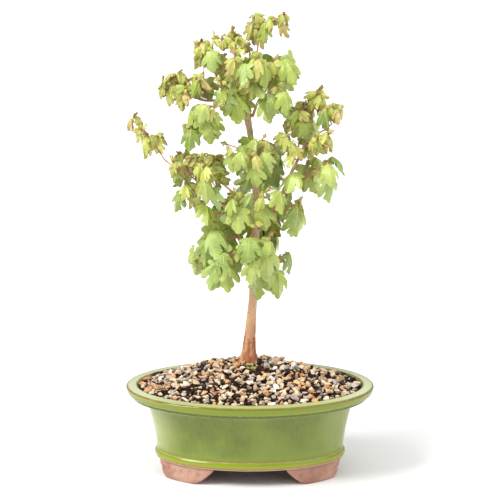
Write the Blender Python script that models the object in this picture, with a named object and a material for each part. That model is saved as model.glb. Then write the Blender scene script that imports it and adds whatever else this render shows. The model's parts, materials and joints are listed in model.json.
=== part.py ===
# Field maple bonsai in an oval glazed pot: a young tree with a slender leaning trunk, an open crown
# of hanging lobed leaves, and a bed of soil under gravel in a green bowl on four clay feet.
# Metres, +Z up. The origin is the middle of the pot's footprint on the surface it stands on.
# +X runs along the pot, and -Y is the side that faces the viewer.

import math
import random

import bpy
import bmesh
from mathutils import Vector
from mathutils.bvhtree import BVHTree
from mathutils.geometry import delaunay_2d_cdt

MM = 0.001
TREE = "field_maple_bonsai"
GAP = 0.3 * MM  # between pieces that rest on or grow from each other

# The pot: half width and half depth at the rim, then heights over the ground
RIM_HALF_WIDTH = 127 * MM
RIM_HALF_DEPTH = 86 * MM
RIM_TOP = 94.7 * MM
LIP_WIDTH = 11.7 * MM
LIP_DEPTH = 8.6 * MM
NECK_INSET = 21.5 * MM
NECK_HEIGHT = 76 * MM
WAIST_INSET = 30.8 * MM
WAIST_HEIGHT = 32 * MM
BELT_INSET = 28.8 * MM
BELT_HEIGHT = 23.5 * MM
BELT_THICKNESS = 7.4 * MM
BASE_HEIGHT = 18.5 * MM
WALL = 6.2 * MM
FLOOR = 10 * MM
DRAIN_RADIUS = 6 * MM
DRAIN_SPACING = 90 * MM
POT_SIDES = 32
BODY_STEPS = 4

# The feet: where they stand round the oval, in degrees, and their section
FOOT_ANGLES = (42, 138, 222, 318)
FOOT_SPREAD = 26
FOOT_FLAT = 0.46  # the share of the foot that touches the ground
FOOT_INSET = 32.5 * MM
FOOT_THICKNESS = 16 * MM
FOOT_EDGE = 2.2 * MM

# The soil: just under the rim at the edge, heaped up to a level seat for the trunk
SOIL_EDGE = 89.5 * MM
SEAT_HEIGHT = 105.5 * MM
SEAT_RADIUS = 15 * MM

# The gravel on it: stones larger than life, so that a few of them cover the soil
STONE_SPACING = 18 * MM
STONE_REACH = 5.4 * MM
STONE_HEIGHT = 5 * MM
STONE_MARGIN = 8.5 * MM  # from the wall to a stone's middle
STONE_SEED = 7

# The trunk's middle line and its radius there, from the soil up, in millimetres
TRUNK = (
    (-1.5, 34, 105.8, 11.0),
    (-1.2, 34, 110, 9.4),
    (-0.8, 33.8, 119, 7.4),
    (-0.2, 33.4, 133, 6.1),
    (1, 32.6, 150, 5.2),
    (3, 31, 175, 4.4),
    (4, 30, 195, 4.6),
    (5, 28.8, 228, 4.0),
    (6, 26.8, 265, 3.7),
    (5.4, 24.6, 300, 3.3),
    (3, 23, 328, 2.9),
    (0, 21.4, 352, 3.0),
    (-3.6, 20.2, 371, 4.0),
    (-4.6, 20, 380, 5.0),
    (-4.8, 20, 383, 4.4),
)
TRUNK_SIDES = 12
ROOT_LOBES = 5
ROOT_LOBE_DEPTH = 0.12

# Each limb: its host, where it leaves it (0 is the host's foot, 1 its tip), the points it passes,
# in millimetres, and its radius at both ends
LIMBS = {
    "leader": ("trunk", 1, ((-1.5, 18, 396), (0.5, 16, 405), (0, 14, 420), (0, 12, 433)), 2.6, 1.3),
    "bough_low_left": (
        "trunk", 0.37, ((-6, 23, 228), (-11, 19, 242), (-19, 13, 263), (-30, 5, 286), (-53, 2, 310)),
        2.2, 1.2,
    ),
    "bough_far_left": ("bough_low_left", 1, ((-68, 2, 317), (-83, 4, 325), (-90, 6, 334)), 1.0, 0.7),
    "bough_right": (
        "trunk", 0.53, ((18, 22, 267), (27, 17, 278), (39, 12, 307), (48, 9, 326), (56, 7, 346)), 2.2, 1.3,
    ),
    "bough_right_out": ("bough_right", 0.97, ((64, 4, 352), (73, 2, 357), (82, 0, 365)), 1.0, 0.7),
    "bough_right_up": ("bough_right", 1, ((60, 8, 360), (62, 8, 375)), 1.0, 0.7),
    "bough_crown_left": (
        "trunk", 0.965, ((-18, 15, 384), (-30, 9, 387), (-43, 5, 387), (-56, 4, 391)), 1.8, 1.0,
    ),
    "bough_upper_left": (
        "bough_crown_left", 0.42, ((-27, 10, 399), (-34, 10, 412), (-40, 11, 421)), 1.0, 0.7,
    ),
    "bough_upper_right": (
        "trunk", 0.95, ((8, 17, 384), (13, 13, 392), (20, 8, 405), (25, 5, 418)), 1.6, 0.9,
    ),
    "bough_second": ("leader", 0.3, ((4.5, 14, 417), (7, 12, 433), (8, 11, 444)), 1.2, 0.8),
    "bough_back_low": ("trunk", 0.39, ((6, 42, 222), (2, 54, 234), (-8, 64, 246)), 1.7, 1.0),
    "bough_back_mid": ("trunk", 0.55, ((-4, 38, 272), (-20, 50, 286), (-38, 56, 300)), 1.7, 1.0),
    "bough_back_high": ("trunk", 0.9, ((0, 34, 372), (2, 46, 384), (6, 54, 398)), 1.5, 0.9),
}
LIMB_POINTS = 6  # along a limb with three stops; each further stop adds one
LEADER_SHIFT = 2.4 * MM  # the leader stands to the right of the old cut at the top of the trunk

# Each mass of foliage: its host and where its stem leaves it, the tips that its shoots run to, in
# millimetres, its pairs of leaves, the length of its first and last leaf, and its seed
MASSES = {
    "foliage_low_left": (
        "bough_low_left", 0.36, ((-48, 2, 228), (-36, -6, 266), (-19, -20, 236)), 2, (34, 28), 12,
    ),
    "foliage_low_front": (
        "trunk", 0.44, ((-5, -28, 238), (17, -18, 254), (4, -24, 268)), 2, (33, 27), 32,
    ),
    "foliage_low_right": ("trunk", 0.32, ((29, 6, 225),), 2, (28, 26), 36),
    "foliage_mid_front": ("trunk", 0.62, ((14, -24, 300), (-14, -8, 294)), 2, (33, 26), 43),
    "foliage_right_low": ("bough_right", 0.25, ((48, 0, 284), (36, 18, 302)), 2, (30, 22), 23),
    "foliage_right_mid": ("bough_right", 0.55, ((76, -8, 328), (60, 14, 334)), 2, (30, 26), 44),
    "foliage_right_wing": ("bough_right", 0.8, ((37, -8, 356),), 3, (26, 20), 29),
    "foliage_right_tip": ("bough_right_up", 1, ((88, 4, 378), (67, 10, 394)), 2, (20, 16), 16),
    "foliage_right_inner": ("bough_right_up", 0.4, ((46, 4, 376), (56, 26, 382)), 2, (24, 18), 8),
    "foliage_right_young": ("bough_right_out", 0.4, ((67, -14, 354), (77, -9, 356)), 2, (20, 16), 24),
    "foliage_trunk_front": (
        "trunk", 0.76, ((12, -10, 350), (-22, -12, 346), (0, -28, 338)), 2, (28, 22), 13,
    ),
    "foliage_young_outer": ("bough_low_left", 0.97, ((-76, -12, 328), (-66, 16, 330)), 2, (20, 17), 29),
    "foliage_young_inner": ("bough_low_left", 0.72, ((-52, -12, 328), (-36, 10, 328)), 2, (20, 17), 6),
    "foliage_left_hanging": ("bough_low_left", 0.6, ((-74, -8, 318), (-44, -20, 326)), 2, (23, 20), 21),
    "foliage_far_left": (
        "bough_far_left", 1, ((-115, 8, 369), (-108, 0, 359), (-94, 4, 351)), 1, (18, 14), 59,
    ),
    "foliage_crown_left_low": (
        "bough_crown_left", 0.6, ((-46, -4, 379), (-34, -24, 386), (-62, -8, 365)), 2, (32, 27), 17,
    ),
    "foliage_crown_left_mid": (
        "bough_crown_left", 0.75, ((-52, -8, 410), (-46, 14, 420)), 2, (23, 18), 8,
    ),
    "foliage_crown_left_outer": (
        "bough_crown_left", 1, ((-86, 6, 404), (-74, 16, 410), (-62, -8, 402)), 2, (20, 16), 5,
    ),
    "foliage_crown_left_inner": (
        "bough_crown_left", 0.3, ((-28, -14, 410), (-15, -4, 390)), 2, (26, 21), 22,
    ),
    "foliage_upper_left": ("bough_upper_left", 1, ((-48, 12, 444), (-29, 6, 430)), 3, (20, 15), 21),
    "foliage_leader_left": ("leader", 0.5, ((-14, -10, 434),), 3, (24, 18), 27),
    "foliage_leader_tip": ("leader", 1, ((-18, 14, 453), (-34, 8, 449)), 2, (18, 13), 40),
    "foliage_top": ("bough_second", 1, ((5, 10, 471), (33, 6, 472)), 2, (19, 15), 7),
    "foliage_upper_right": ("bough_upper_right", 1, ((23, -4, 428), (34, 18, 420)), 2, (31, 24), 1),
    "foliage_upper_front": ("leader", 0.4, ((8, -22, 434),), 3, (26, 22), 7),
    "foliage_fork_right": ("bough_upper_right", 0.5, ((26, -18, 406),), 2, (31, 26), 20),
    "foliage_back_low_left": ("bough_back_low", 1, ((-32, 68, 248), (-14, 74, 262)), 2, (33, 27), 18),
    "foliage_back_low_right": ("bough_back_low", 0.5, ((8, 66, 254), (20, 46, 258)), 2, (33, 27), 42),
    "foliage_back_mid": ("trunk", 0.7, ((6, 66, 320), (24, 52, 326)), 2, (31, 24), 21),
    "foliage_back_left": ("bough_back_mid", 1, ((-48, 64, 320),), 3, (27, 20), 13),
    "foliage_back_upper": ("bough_back_high", 1, ((12, 62, 420), (-22, 62, 412)), 2, (27, 20), 18),
    "foliage_back_right": ("bough_right", 0.85, ((54, 46, 368),), 2, (27, 20), 8),
}
YOUNG_LEAF = 20.5 * MM  # a leaf up to this long is folded and has three lobes
MATURE_LEAF = 28 * MM  # a leaf longer than this has five
TWIG_RADII = (1.0 * MM, 0.75 * MM)
STALK_RADII = (0.3 * MM, 0.42 * MM)
TWIG_POINTS = 4
STALK_LIFT = 0.25  # how much the stalks rise before the blades hang
FORK_SHARE = 0.2  # where a side shoot leaves the middle span of its stem
BARE_SHARE = 0.3  # the part of a stem before its first leaves
FIT_TRIES = 14
CROWN_HALF_WIDTH = 125 * MM
CROWN_HALF_DEPTH = 84 * MM
CROWN_TOP = 478 * MM
CROWN_AXIS = Vector((0, 22 * MM, 0))

# Half of each leaf outline, from the foot to the tip, as shares of the leaf's length
FULL_OUTLINE = ((0.02, 0.35), (0.27, 0.29), (0.58, 0.48), (0.62, 0.25))
MIDDLE_OUTLINE = ((0.02, 0.33), (0.56, 0.46), (0.63, 0.22))
YOUNG_OUTLINE = ((0.48, 0.31), (0.66, 0.17))
LEAF_MIDDLE = 0.36


def clear_scene():
    for old in list(bpy.data.objects):
        bpy.data.objects.remove(old)


def new_collection(name):
    collection = bpy.data.collections.new(name)
    bpy.context.scene.collection.children.link(collection)
    return collection


def make_material(name, colour, roughness, coat=0.0):
    material = bpy.data.materials.new(name)
    material.use_nodes = True
    surface = material.node_tree.nodes["Principled BSDF"]
    surface.inputs["Base Color"].default_value = (*colour, 1)
    surface.inputs["Roughness"].default_value = roughness
    surface.inputs["Coat Weight"].default_value = coat
    return material


def add_mesh(name, points, faces, material, collection):
    mesh = bpy.data.meshes.new(name)
    mesh.from_pydata(points, [], faces)
    surface = bmesh.new()
    surface.from_mesh(mesh)
    bmesh.ops.recalc_face_normals(surface, faces=surface.faces)
    surface.to_mesh(mesh)
    surface.free()
    piece = bpy.data.objects.new(name, mesh)
    mesh.materials.append(material)
    collection.objects.link(piece)
    return piece


def loft(rings):
    """Points and faces of a closed skin over rings that all have the same number of points."""
    count = len(rings[0])
    points = [point for ring in rings for point in ring]
    faces = [tuple(range(count))[::-1]]
    for low in range(0, count * (len(rings) - 1), count):
        for side in range(count):
            after = (side + 1) % count
            faces.append((low + side, low + after, low + count + after, low + count + side))
    faces.append(tuple(range(len(points) - count, len(points))))
    return points, faces


def apply_boolean(piece, operation, cutter=None, group=None):
    cut = piece.modifiers.new(operation.lower(), "BOOLEAN")
    cut.operation = operation
    cut.solver = "EXACT"
    if group:
        cut.operand_type = "COLLECTION"
        cut.collection = group
    else:
        cut.object = cutter
    bpy.context.view_layer.update()
    graph = bpy.context.evaluated_depsgraph_get()
    joined = bpy.data.meshes.new_from_object(piece.evaluated_get(graph))
    piece.modifiers.clear()
    piece.data = joined


def oval_point(degrees, inset, height):
    """A point on the rim's oval moved straight inwards, so that every wall keeps its width all round."""
    turn = math.radians(degrees)
    x = RIM_HALF_WIDTH * math.cos(turn)
    y = RIM_HALF_DEPTH * math.sin(turn)
    outwards = Vector((x / RIM_HALF_WIDTH**2, y / RIM_HALF_DEPTH**2, 0)).normalized()
    return Vector((x, y, height)) - outwards * inset


def oval_ring(inset, height):
    return [oval_point(360 * side / POT_SIDES, inset, height) for side in range(POT_SIDES)]


def pot_outside():
    """Insets and heights of the outer face, from the base up to the lip's inner edge."""
    profile = [(BELT_INSET + 4 * MM, BASE_HEIGHT), (BELT_INSET + 2.2 * MM, BASE_HEIGHT + 0.8 * MM)]
    for step in range(4):
        turn = math.radians(-66 + 44 * step)
        bulge = math.cos(turn) * 2.4 * MM
        height = BELT_HEIGHT + math.sin(turn) * BELT_THICKNESS / 2
        profile.append((BELT_INSET + 2.4 * MM - bulge, height))
    for step in range(BODY_STEPS + 1):
        share = step / BODY_STEPS
        inset = WAIST_INSET + (NECK_INSET - WAIST_INSET) * share**1.35
        profile.append((inset, WAIST_HEIGHT + (NECK_HEIGHT - WAIST_HEIGHT) * share))
    lip_foot = RIM_TOP - LIP_DEPTH
    profile.append((NECK_INSET - 1.6 * MM, NECK_HEIGHT + 1.2 * MM))
    profile.append((0.55 * NECK_INSET, NECK_HEIGHT + 0.45 * (lip_foot - NECK_HEIGHT)))
    profile.append((4.6 * MM, lip_foot - 0.8 * MM))
    profile.append((2.4 * MM, lip_foot))
    profile.append((0, RIM_TOP - 2.4 * MM))
    profile.append((1.2 * MM, RIM_TOP - 0.9 * MM))
    profile.append((LIP_WIDTH - 1.5 * MM, RIM_TOP))
    profile.append((LIP_WIDTH, RIM_TOP - 0.8 * MM))
    return profile


def pot_inside():
    """Insets and heights of the inner face, from under the lip down to the edge of the floor."""
    return [
        (LIP_WIDTH + 0.8 * MM, SOIL_EDGE),
        (LIP_WIDTH + 2.5 * MM, RIM_TOP - LIP_DEPTH - 1.4 * MM),
        (NECK_INSET + WALL, NECK_HEIGHT - 2 * MM),
        (WAIST_INSET + WALL - 2 * MM, WAIST_HEIGHT + 14 * MM),
        (WAIST_INSET + WALL + 2 * MM, BASE_HEIGHT + FLOOR + 4 * MM),
        (WAIST_INSET + WALL + 9 * MM, BASE_HEIGHT + FLOOR),
    ]


def make_pot(collection, cutters, glaze):
    rings = [oval_ring(*corner) for corner in pot_outside() + pot_inside()]
    pot = add_mesh("pot", *loft(rings), glaze, collection)
    for side in (-1, 1):
        place = (side * DRAIN_SPACING / 2, 0, BASE_HEIGHT)
        bpy.ops.mesh.primitive_cylinder_add(
            vertices=16, radius=DRAIN_RADIUS, depth=4 * FLOOR, location=place,
        )
        drain = bpy.context.object
        drain.name = "drain_cutter"
        drain.hide_render = True
        drain.display_type = "WIRE"
        for holder in list(drain.users_collection):
            holder.objects.unlink(drain)
        cutters.objects.link(drain)
        apply_boolean(pot, "DIFFERENCE", cutter=drain)


def make_feet(collection, clay):
    """Four bracket feet that follow the oval, each coved at both ends."""
    top = BASE_HEIGHT - GAP
    shares = (-1, -0.86, -0.7, -0.56, -FOOT_FLAT, 0, FOOT_FLAT, 0.56, 0.7, 0.86, 1)
    for number, middle in enumerate(FOOT_ANGLES):
        rings = []
        for share in shares:
            outer = max(0, abs(share) - FOOT_FLAT) / (1 - FOOT_FLAT)
            cove = math.sqrt(1 - (1 - outer) ** 2)
            low = (top - FOOT_EDGE) * cove
            angle = middle + share * FOOT_SPREAD
            inner = FOOT_INSET + FOOT_THICKNESS
            rings.append([
                oval_point(angle, FOOT_INSET + 1.5 * MM, low),
                oval_point(angle, FOOT_INSET, low + 1.5 * MM),
                oval_point(angle, FOOT_INSET, top),
                oval_point(angle, inner, top),
                oval_point(angle, inner, low),
            ])
        add_mesh(f"foot_{number + 1}", *loft(rings), clay, collection)


def stone_grid(seat_middle):
    """Middles of stones in staggered rows over the bed, and of the hollows between them."""
    pitch = STONE_SPACING * math.sqrt(3) / 2
    half_width, half_depth = (reach - LIP_WIDTH for reach in (RIM_HALF_WIDTH, RIM_HALF_DEPTH))
    spots = []
    for row in range(-round(half_depth / pitch), round(half_depth / pitch) + 1):
        for column in range(-round(half_width / STONE_SPACING) - 1, round(half_width / STONE_SPACING) + 1):
            stone = Vector(((column + row % 2 / 2) * STONE_SPACING, row * pitch, 0))
            spots.append((stone, STONE_MARGIN, STONE_REACH))
            for beside in ((STONE_SPACING / 2, pitch / 3, 0), (0, pitch * 2 / 3, 0)):
                spots.append((stone + Vector(beside), STONE_MARGIN / 2, 2 * MM))
    kept = []
    for spot, margin, reach in spots:
        share = (spot.x / (half_width - margin)) ** 2 + (spot.y / (half_depth - margin)) ** 2
        if share < 1 and (spot - seat_middle).xy.length > SEAT_RADIUS + reach:
            kept.append((spot, margin == STONE_MARGIN, share))
    return kept


def gravel_top(edge, seat, mound):
    """The bed's upper faces: angular stones that stand out of the mound, as points and triangles."""
    count = len(edge)
    points = [*edge, *seat]
    lines = [(count + side, count + (side + 1) % len(seat)) for side in range(len(seat))]
    chance = random.Random(STONE_SEED)
    for spot, is_stone, share in stone_grid(sum(seat, Vector()) / len(seat)):
        spot = spot + Vector((chance.uniform(-1, 1), chance.uniform(-1, 1), 0)) * 1.8 * MM
        corners = [spot]
        if is_stone:
            turn = chance.uniform(0, 2 * math.pi)
            turns = [turn + math.radians(120 * corner) + chance.uniform(-0.4, 0.4) for corner in range(3)]
            corners = [spot + Vector((math.cos(turn), math.sin(turn), 0)) * STONE_REACH for turn in turns]
            first = len(points)
            lines += [(first, first + 1), (first + 1, first + 2), (first + 2, first)]
        for corner in corners:
            ground = mound.ray_cast(corner + Vector((0, 0, 1)), Vector((0, 0, -1)))[0]
            lift = STONE_HEIGHT * chance.uniform(0.75, 1.2) * (1 - 0.35 * share) if is_stone else 0
            points.append(ground + Vector((0, 0, lift)))
    flat = [point.xy for point in points]
    made = delaunay_2d_cdt(flat, lines, [list(range(count))], 1, 0.01 * MM)
    order = [origins[0] for origins in made[3]]
    return points, [tuple(order[corner] for corner in side) for side in made[2]]


def make_soil(collection, earth):
    """A bed that fills the bowl and rises, under its gravel, to the level seat of the trunk."""
    floor = BASE_HEIGHT + FLOOR + GAP
    rings = [oval_ring(inset + GAP, max(height, floor)) for inset, height in pot_inside()][::-1]
    edge = rings[-1]
    middle = Vector((TRUNK[0][0] * MM, TRUNK[0][1] * MM, SEAT_HEIGHT))
    seat, shoulder = [], []
    for side, outer in enumerate(edge):
        turn = 2 * math.pi * side / POT_SIDES
        inner = middle + Vector((math.cos(turn), math.sin(turn), 0)) * SEAT_RADIUS
        seat.append(inner)
        between = outer.lerp(inner, 0.4)
        between.z = outer.z + (inner.z - outer.z) * math.sin(0.2 * math.pi)
        shoulder.append(between)
    mound = tree_of([loft([edge, shoulder, seat])])
    points, faces = loft(rings)
    faces.pop()
    top, sides = gravel_top(edge, seat[::2], mound)
    start = len(points) - len(edge)
    faces += [tuple(start + corner for corner in side) for side in sides]
    points += top[len(edge):]
    add_mesh("soil", points, faces, earth, collection)


def smooth_path(points, count):
    """Points at equal shares along a Catmull-Rom curve through the given ones."""
    ends = [points[0] * 2 - points[1], *points, points[-1] * 2 - points[-2]]
    spans = len(points) - 1
    path = []
    for step in range(count):
        place = spans * step / (count - 1)
        span = min(int(place), spans - 1)
        t = place - span
        a, b, c, d = ends[span:span + 4]
        bend, twist = a * 2 - b * 5 + c * 4 - d, b * 3 - a - c * 3 + d
        path.append((b * 2 + (c - a) * t + bend * t**2 + twist * t**3) / 2)
    return path


def along(limb, share):
    """The middle, direction and radius of a limb at a share of its length."""
    path, radii = limb
    spans = [(after - before).length for before, after in zip(path, path[1:])]
    left = share * sum(spans)
    number = 0
    while left > spans[number] and number < len(spans) - 1:
        left -= spans[number]
        number += 1
    part = left / spans[number]
    axis = (path[number + 1] - path[number]).normalized()
    radius = radii[number] + (radii[number + 1] - radii[number]) * part
    return path[number].lerp(path[number + 1], part), axis, radius


def leave(limb, share, target):
    """Where a shoot starts, just clear of its host, and which way it sets out."""
    middle, axis, radius = along(limb, share)
    if share == 1:
        return middle + axis * GAP, axis
    side = target - middle
    side = (side - axis * side.dot(axis)).normalized()
    return middle + side * (radius + GAP), side


def make_trunk(collection, bark):
    path = smooth_path([Vector(row[:3]) * MM for row in TRUNK], len(TRUNK))
    radii = [row[3] * MM for row in TRUNK]
    rings = []
    for number, (middle, radius) in enumerate(zip(path, radii)):
        flare = ROOT_LOBE_DEPTH * max(0, 1 - number / 4)
        ring = []
        for side in range(TRUNK_SIDES):
            turn = 2 * math.pi * side / TRUNK_SIDES
            reach = radius * (1 + flare * math.cos(ROOT_LOBES * turn + 0.6))
            ring.append(middle + Vector((math.cos(turn), math.sin(turn), 0)) * reach)
        rings.append(ring)
    add_mesh("trunk", *loft(rings), bark, collection)
    return path, radii


def make_limb(name, hosts, collection, bark):
    host, share, stops, thick, thin = LIMBS[name]
    stops = [Vector(stop) * MM for stop in stops]
    start, way = leave(hosts[host], share, stops[0])
    if host == "trunk" and share == 1:
        start.x += LEADER_SHIFT
    count = LIMB_POINTS + len(stops) - 3
    bend = start + way * 1.4 * thick * MM
    path = [start, *smooth_path([bend, *stops], count - 1)]
    radii = [(thick + (thin - thick) * step / (count - 1)) * MM for step in range(count)]
    curve = bpy.data.curves.new(name, "CURVE")
    curve.dimensions = "3D"
    curve.bevel_depth = 1
    curve.bevel_resolution = 1
    curve.use_fill_caps = True
    spline = curve.splines.new("POLY")
    spline.points.add(count - 1)
    for point, place, radius in zip(spline.points, path, radii):
        point.co = (*place, 1)
        point.radius = radius
    curve.materials.append(bark)
    collection.objects.link(bpy.data.objects.new(name, curve))
    return path, radii


def twig(shoot, thick, thin):
    """A three-sided tapering shoot along its path, its foot square to the way it sets out."""
    axis, path = shoot
    rings = []
    side = axis.orthogonal().normalized()
    for number, middle in enumerate(path):
        if rings:
            axis = (path[min(number + 1, len(path) - 1)] - path[number - 1]).normalized()
            side = (side - axis * side.dot(axis)).normalized()
        other = axis.cross(side)
        radius = thick + (thin - thick) * number / (len(path) - 1)
        turns = [math.radians(120 * corner) for corner in range(3)]
        rings.append([middle + (side * math.cos(turn) + other * math.sin(turn)) * radius for turn in turns])
    return loft(rings)


def make_shoot(start, way, tip):
    """The way a shoot sets out, and the points it passes as it bends over to its tip."""
    reach = (tip - start).length
    end = (tip - start).normalized() + Vector((0, 0, -0.15))
    a, b, c, d = start, start + way * reach * 0.3, tip - end * reach * 0.3, tip
    path = []
    for step in range(TWIG_POINTS):
        t = step / (TWIG_POINTS - 1)
        path.append(a * (1 - t) ** 3 + b * 3 * t * (1 - t) ** 2 + c * 3 * t**2 * (1 - t) + d * t**3)
    return way, path


def mass_shoots(name, hosts):
    """A mass's main stem, and the shoots that fork from it."""
    host, share, tips = MASSES[name][:3]
    tips = [Vector(tip) * MM for tip in tips]
    start, way = leave(hosts[host], share, tips[0])
    shoots = [make_shoot(start, way, tips[0])]
    low, high = shoots[0][1][1:3]
    for tip in tips[1:]:
        fork = low.lerp(high, FORK_SHARE)
        way = ((high - low).normalized() + (tip - fork).normalized()).normalized()
        shoots.append(make_shoot(fork, way, tip))
    return shoots


def mass_room(name, shoots):
    """The middle and reach of a mass; the plane where two such balls meet divides their rooms."""
    leaf = MASSES[name][4][0] * MM
    count = len(shoots)
    middle = sum((path[1].lerp(path[2], 0.5) + path[-1] for _, path in shoots), Vector()) / (2 * count)
    reach = sum((path[-1] - middle).length for _, path in shoots) / count + 0.5 * leaf
    return middle + Vector((0, 0, -0.5 * leaf)), reach


def in_room(points, name, rooms):
    """Whether all points lie nearer to this mass than to any other, with the gap to spare."""
    middle, reach = rooms[name]
    for point in points:
        if abs(point.x) > CROWN_HALF_WIDTH or abs(point.y) > CROWN_HALF_DEPTH or point.z > CROWN_TOP:
            return False
        own = (point - middle).length_squared - reach**2
        for other, (centre, size) in rooms.items():
            if other != name:
                spare = 2 * GAP * (centre - middle).length
                if own > (point - centre).length_squared - size**2 - spare:
                    return False
    return True


class Leaf:
    """One hanging leaf: where its stalk leaves the shoot, and how its blade lies."""

    def __init__(self, node, sideways, shoot_axis, length, loosen, chance):
        mature = length > YOUNG_LEAF
        stalk = length * (0.5 if mature else 0.3) * chance.uniform(0.7, 1.2)
        outwards = sideways + shoot_axis * chance.uniform(0.2, 0.7) + Vector((0, 0, STALK_LIFT))
        outwards.normalize()
        self.node = node + outwards * STALK_RADII[0]
        self.length = length
        self.foot = self.node + outwards * stalk
        hang = chance.uniform(0.72, 0.95) - 0.15 * loosen
        scatter = Vector([chance.gauss(0, 0.12 + 0.1 * loosen) for _ in range(3)])
        self.along = (outwards * (1 - hang) * 1.6 + Vector((0, 0, -hang)) + scatter).normalized()
        away = node - CROWN_AXIS
        facing = Vector((away.x * 0.5, -abs(away.y) - 0.02 if away.y < 0.02 else away.y, 0)).normalized()
        turn = math.radians(chance.gauss(0, 26 + 14 * loosen))
        facing = Vector((
            facing.x * math.cos(turn) - facing.y * math.sin(turn),
            facing.x * math.sin(turn) + facing.y * math.cos(turn),
            0.25,
        ))
        facing = facing + sideways * 0.35
        self.up = (facing - self.along * facing.dot(self.along)).normalized()
        self.across = self.along.cross(self.up)
        self.fold = math.radians(chance.uniform(14, 34) if mature else chance.uniform(30, 55))
        self.curl = chance.uniform(0.05, 0.22)
        self.outline = YOUNG_OUTLINE
        if length > YOUNG_LEAF:
            self.outline = FULL_OUTLINE if length > MATURE_LEAF else MIDDLE_OUTLINE

    def place(self, lengthways, sideways):
        """A point of the blade, whose halves fold back from the midrib and whose tip curls under."""
        back = abs(sideways) * math.sin(self.fold) + self.curl * lengthways**2
        return self.foot + (
            self.along * lengthways + self.across * sideways * math.cos(self.fold) - self.up * back
        ) * self.length

    def solid(self):
        """The stalk, three-sided, running into a thin blade over the leaf's outline."""
        rim = [self.place(*corner) for corner in self.outline]
        rim.append(self.place(1, 0))
        rim += [self.place(lengthways, -sideways) for lengthways, sideways in self.outline[::-1]]
        swell = self.up * max(0.45 * MM, self.length / 80)
        middle = self.place(LEAF_MIDDLE, 0)
        axis = (self.foot - self.node).normalized()
        bend = (axis + self.along).normalized()
        level = (self.across - bend * self.across.dot(bend)).normalized()
        upright = bend.cross(level)
        if upright.dot(self.up) < 0:
            upright = -upright
        root, neck = [], []
        for turn in (90, -30, 210):
            turn = math.radians(turn)
            side = level * math.cos(turn) + upright * math.sin(turn)
            root.append(self.node + (side - axis * side.dot(axis)).normalized() * STALK_RADII[0])
            neck.append(self.foot + side * STALK_RADII[1])
        points = [*root, *neck, *rim, middle + swell, middle - swell]
        front, back = len(points) - 2, len(points) - 1
        first, last = 6, front - 1
        faces = [(2, 1, 0)]
        for corner in range(3):
            after = (corner + 1) % 3
            faces.append((corner, after, 3 + after, 3 + corner))
        for corner in range(first, last):
            faces.append((corner, corner + 1, front))
            faces.append((corner + 1, corner, back))
        faces += [(4, first, front), (3, 4, front), (5, 3, front), (last, 5, front)]
        faces += [(first, 4, back), (4, 5, back), (5, last, back)]
        return points, faces


def tree_of(shapes):
    """One search tree over several skins."""
    points, faces = [], []
    for skin, sides in shapes:
        faces += [tuple(len(points) + corner for corner in side) for side in sides]
        points += skin
    return BVHTree.FromPolygons(points, faces, epsilon=0)


def free_part(solid):
    """A leaf's skin without the length of stalk that its shoot swallows."""
    points, faces = solid
    return points, [side for side in faces if min(side) > 2]


def crosses_itself(tree, faces):
    """Whether two faces of a skin that share no corner meet."""
    return any(not set(faces[one]) & set(faces[other]) for one, other in tree.overlap(tree))


def fits(leaf, name, rooms, limbs, stems, own, placed):
    points, faces = leaf.solid()
    if not in_room(points[3:], name, rooms):
        return False
    ways = [leaf.place(lengthways, 0) for lengthways in (0.15, 0.6, 0.85)]
    for point in [*points[3:], *ways, leaf.node.lerp(leaf.foot, 0.5)]:
        if limbs.find_nearest(point, 2 * GAP)[0]:
            return False
    shape = tree_of([(points, faces)])
    if crosses_itself(shape, faces):
        return False
    if shape.overlap(limbs) or shape.overlap(stems) or tree_of([free_part((points, faces))]).overlap(own):
        return False
    for other, middle, reach in placed:
        if (middle - points[-1]).length < reach + leaf.length and shape.overlap(other):
            return False
    return True


def mass_leaves(name, shoots, rooms, limbs, stems, placed):
    """Opposite pairs along every shoot, each pair a quarter turn on from the one before."""
    pairs, (longest, shortest), seed = MASSES[name][3:]
    own = tree_of([twig(shoot, *TWIG_RADII) for shoot in shoots])
    leaves = []
    for number, (_, path) in enumerate(shoots):
        for pair in range(pairs + 1):
            share = BARE_SHARE + (1 - BARE_SHARE) * pair / pairs
            node, axis, _ = along((path, [0] * len(path)), min(share, 0.985))
            level = axis.cross(Vector((0, 0, 1))).normalized()
            upright = level.cross(axis)
            length = (longest + (shortest - longest) * pair / pairs) * MM
            for side in (0, 1):
                for attempt in range(FIT_TRIES):
                    chance = random.Random(f"{seed} {number} {pair} {side} {attempt}")
                    loosen = attempt / FIT_TRIES
                    turn = math.pi * (side + pair / 2) + chance.gauss(0.25, 0.3 + loosen)
                    sideways = level * math.cos(turn) + upright * math.sin(turn)
                    size = length * chance.uniform(0.88, 1.08) * (1 - 0.25 * loosen)
                    leaf = Leaf(node, sideways, axis, size, loosen, chance)
                    if fits(leaf, name, rooms, limbs, stems, own, placed):
                        leaves.append(leaf)
                        skin = free_part(leaf.solid())
                        placed.append((tree_of([skin]), skin[0][-1], leaf.length))
                        break
    return leaves


def keep_largest_body(piece):
    """Drops loose scraps and the skins of sealed hollows, which leaves them solid."""
    mesh = bmesh.new()
    mesh.from_mesh(piece.data)
    left = set(mesh.verts)
    bodies = []
    while left:
        reached = [left.pop()]
        for vertex in reached:
            for edge in vertex.link_edges:
                other = edge.other_vert(vertex)
                if other in left:
                    left.remove(other)
                    reached.append(other)
        bodies.append(reached)
    bodies.sort(key=len)
    for body in bodies[:-1]:
        bmesh.ops.delete(mesh, geom=body, context="VERTS")
    mesh.to_mesh(piece.data)
    mesh.free()
    return len(bodies) - 1


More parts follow.
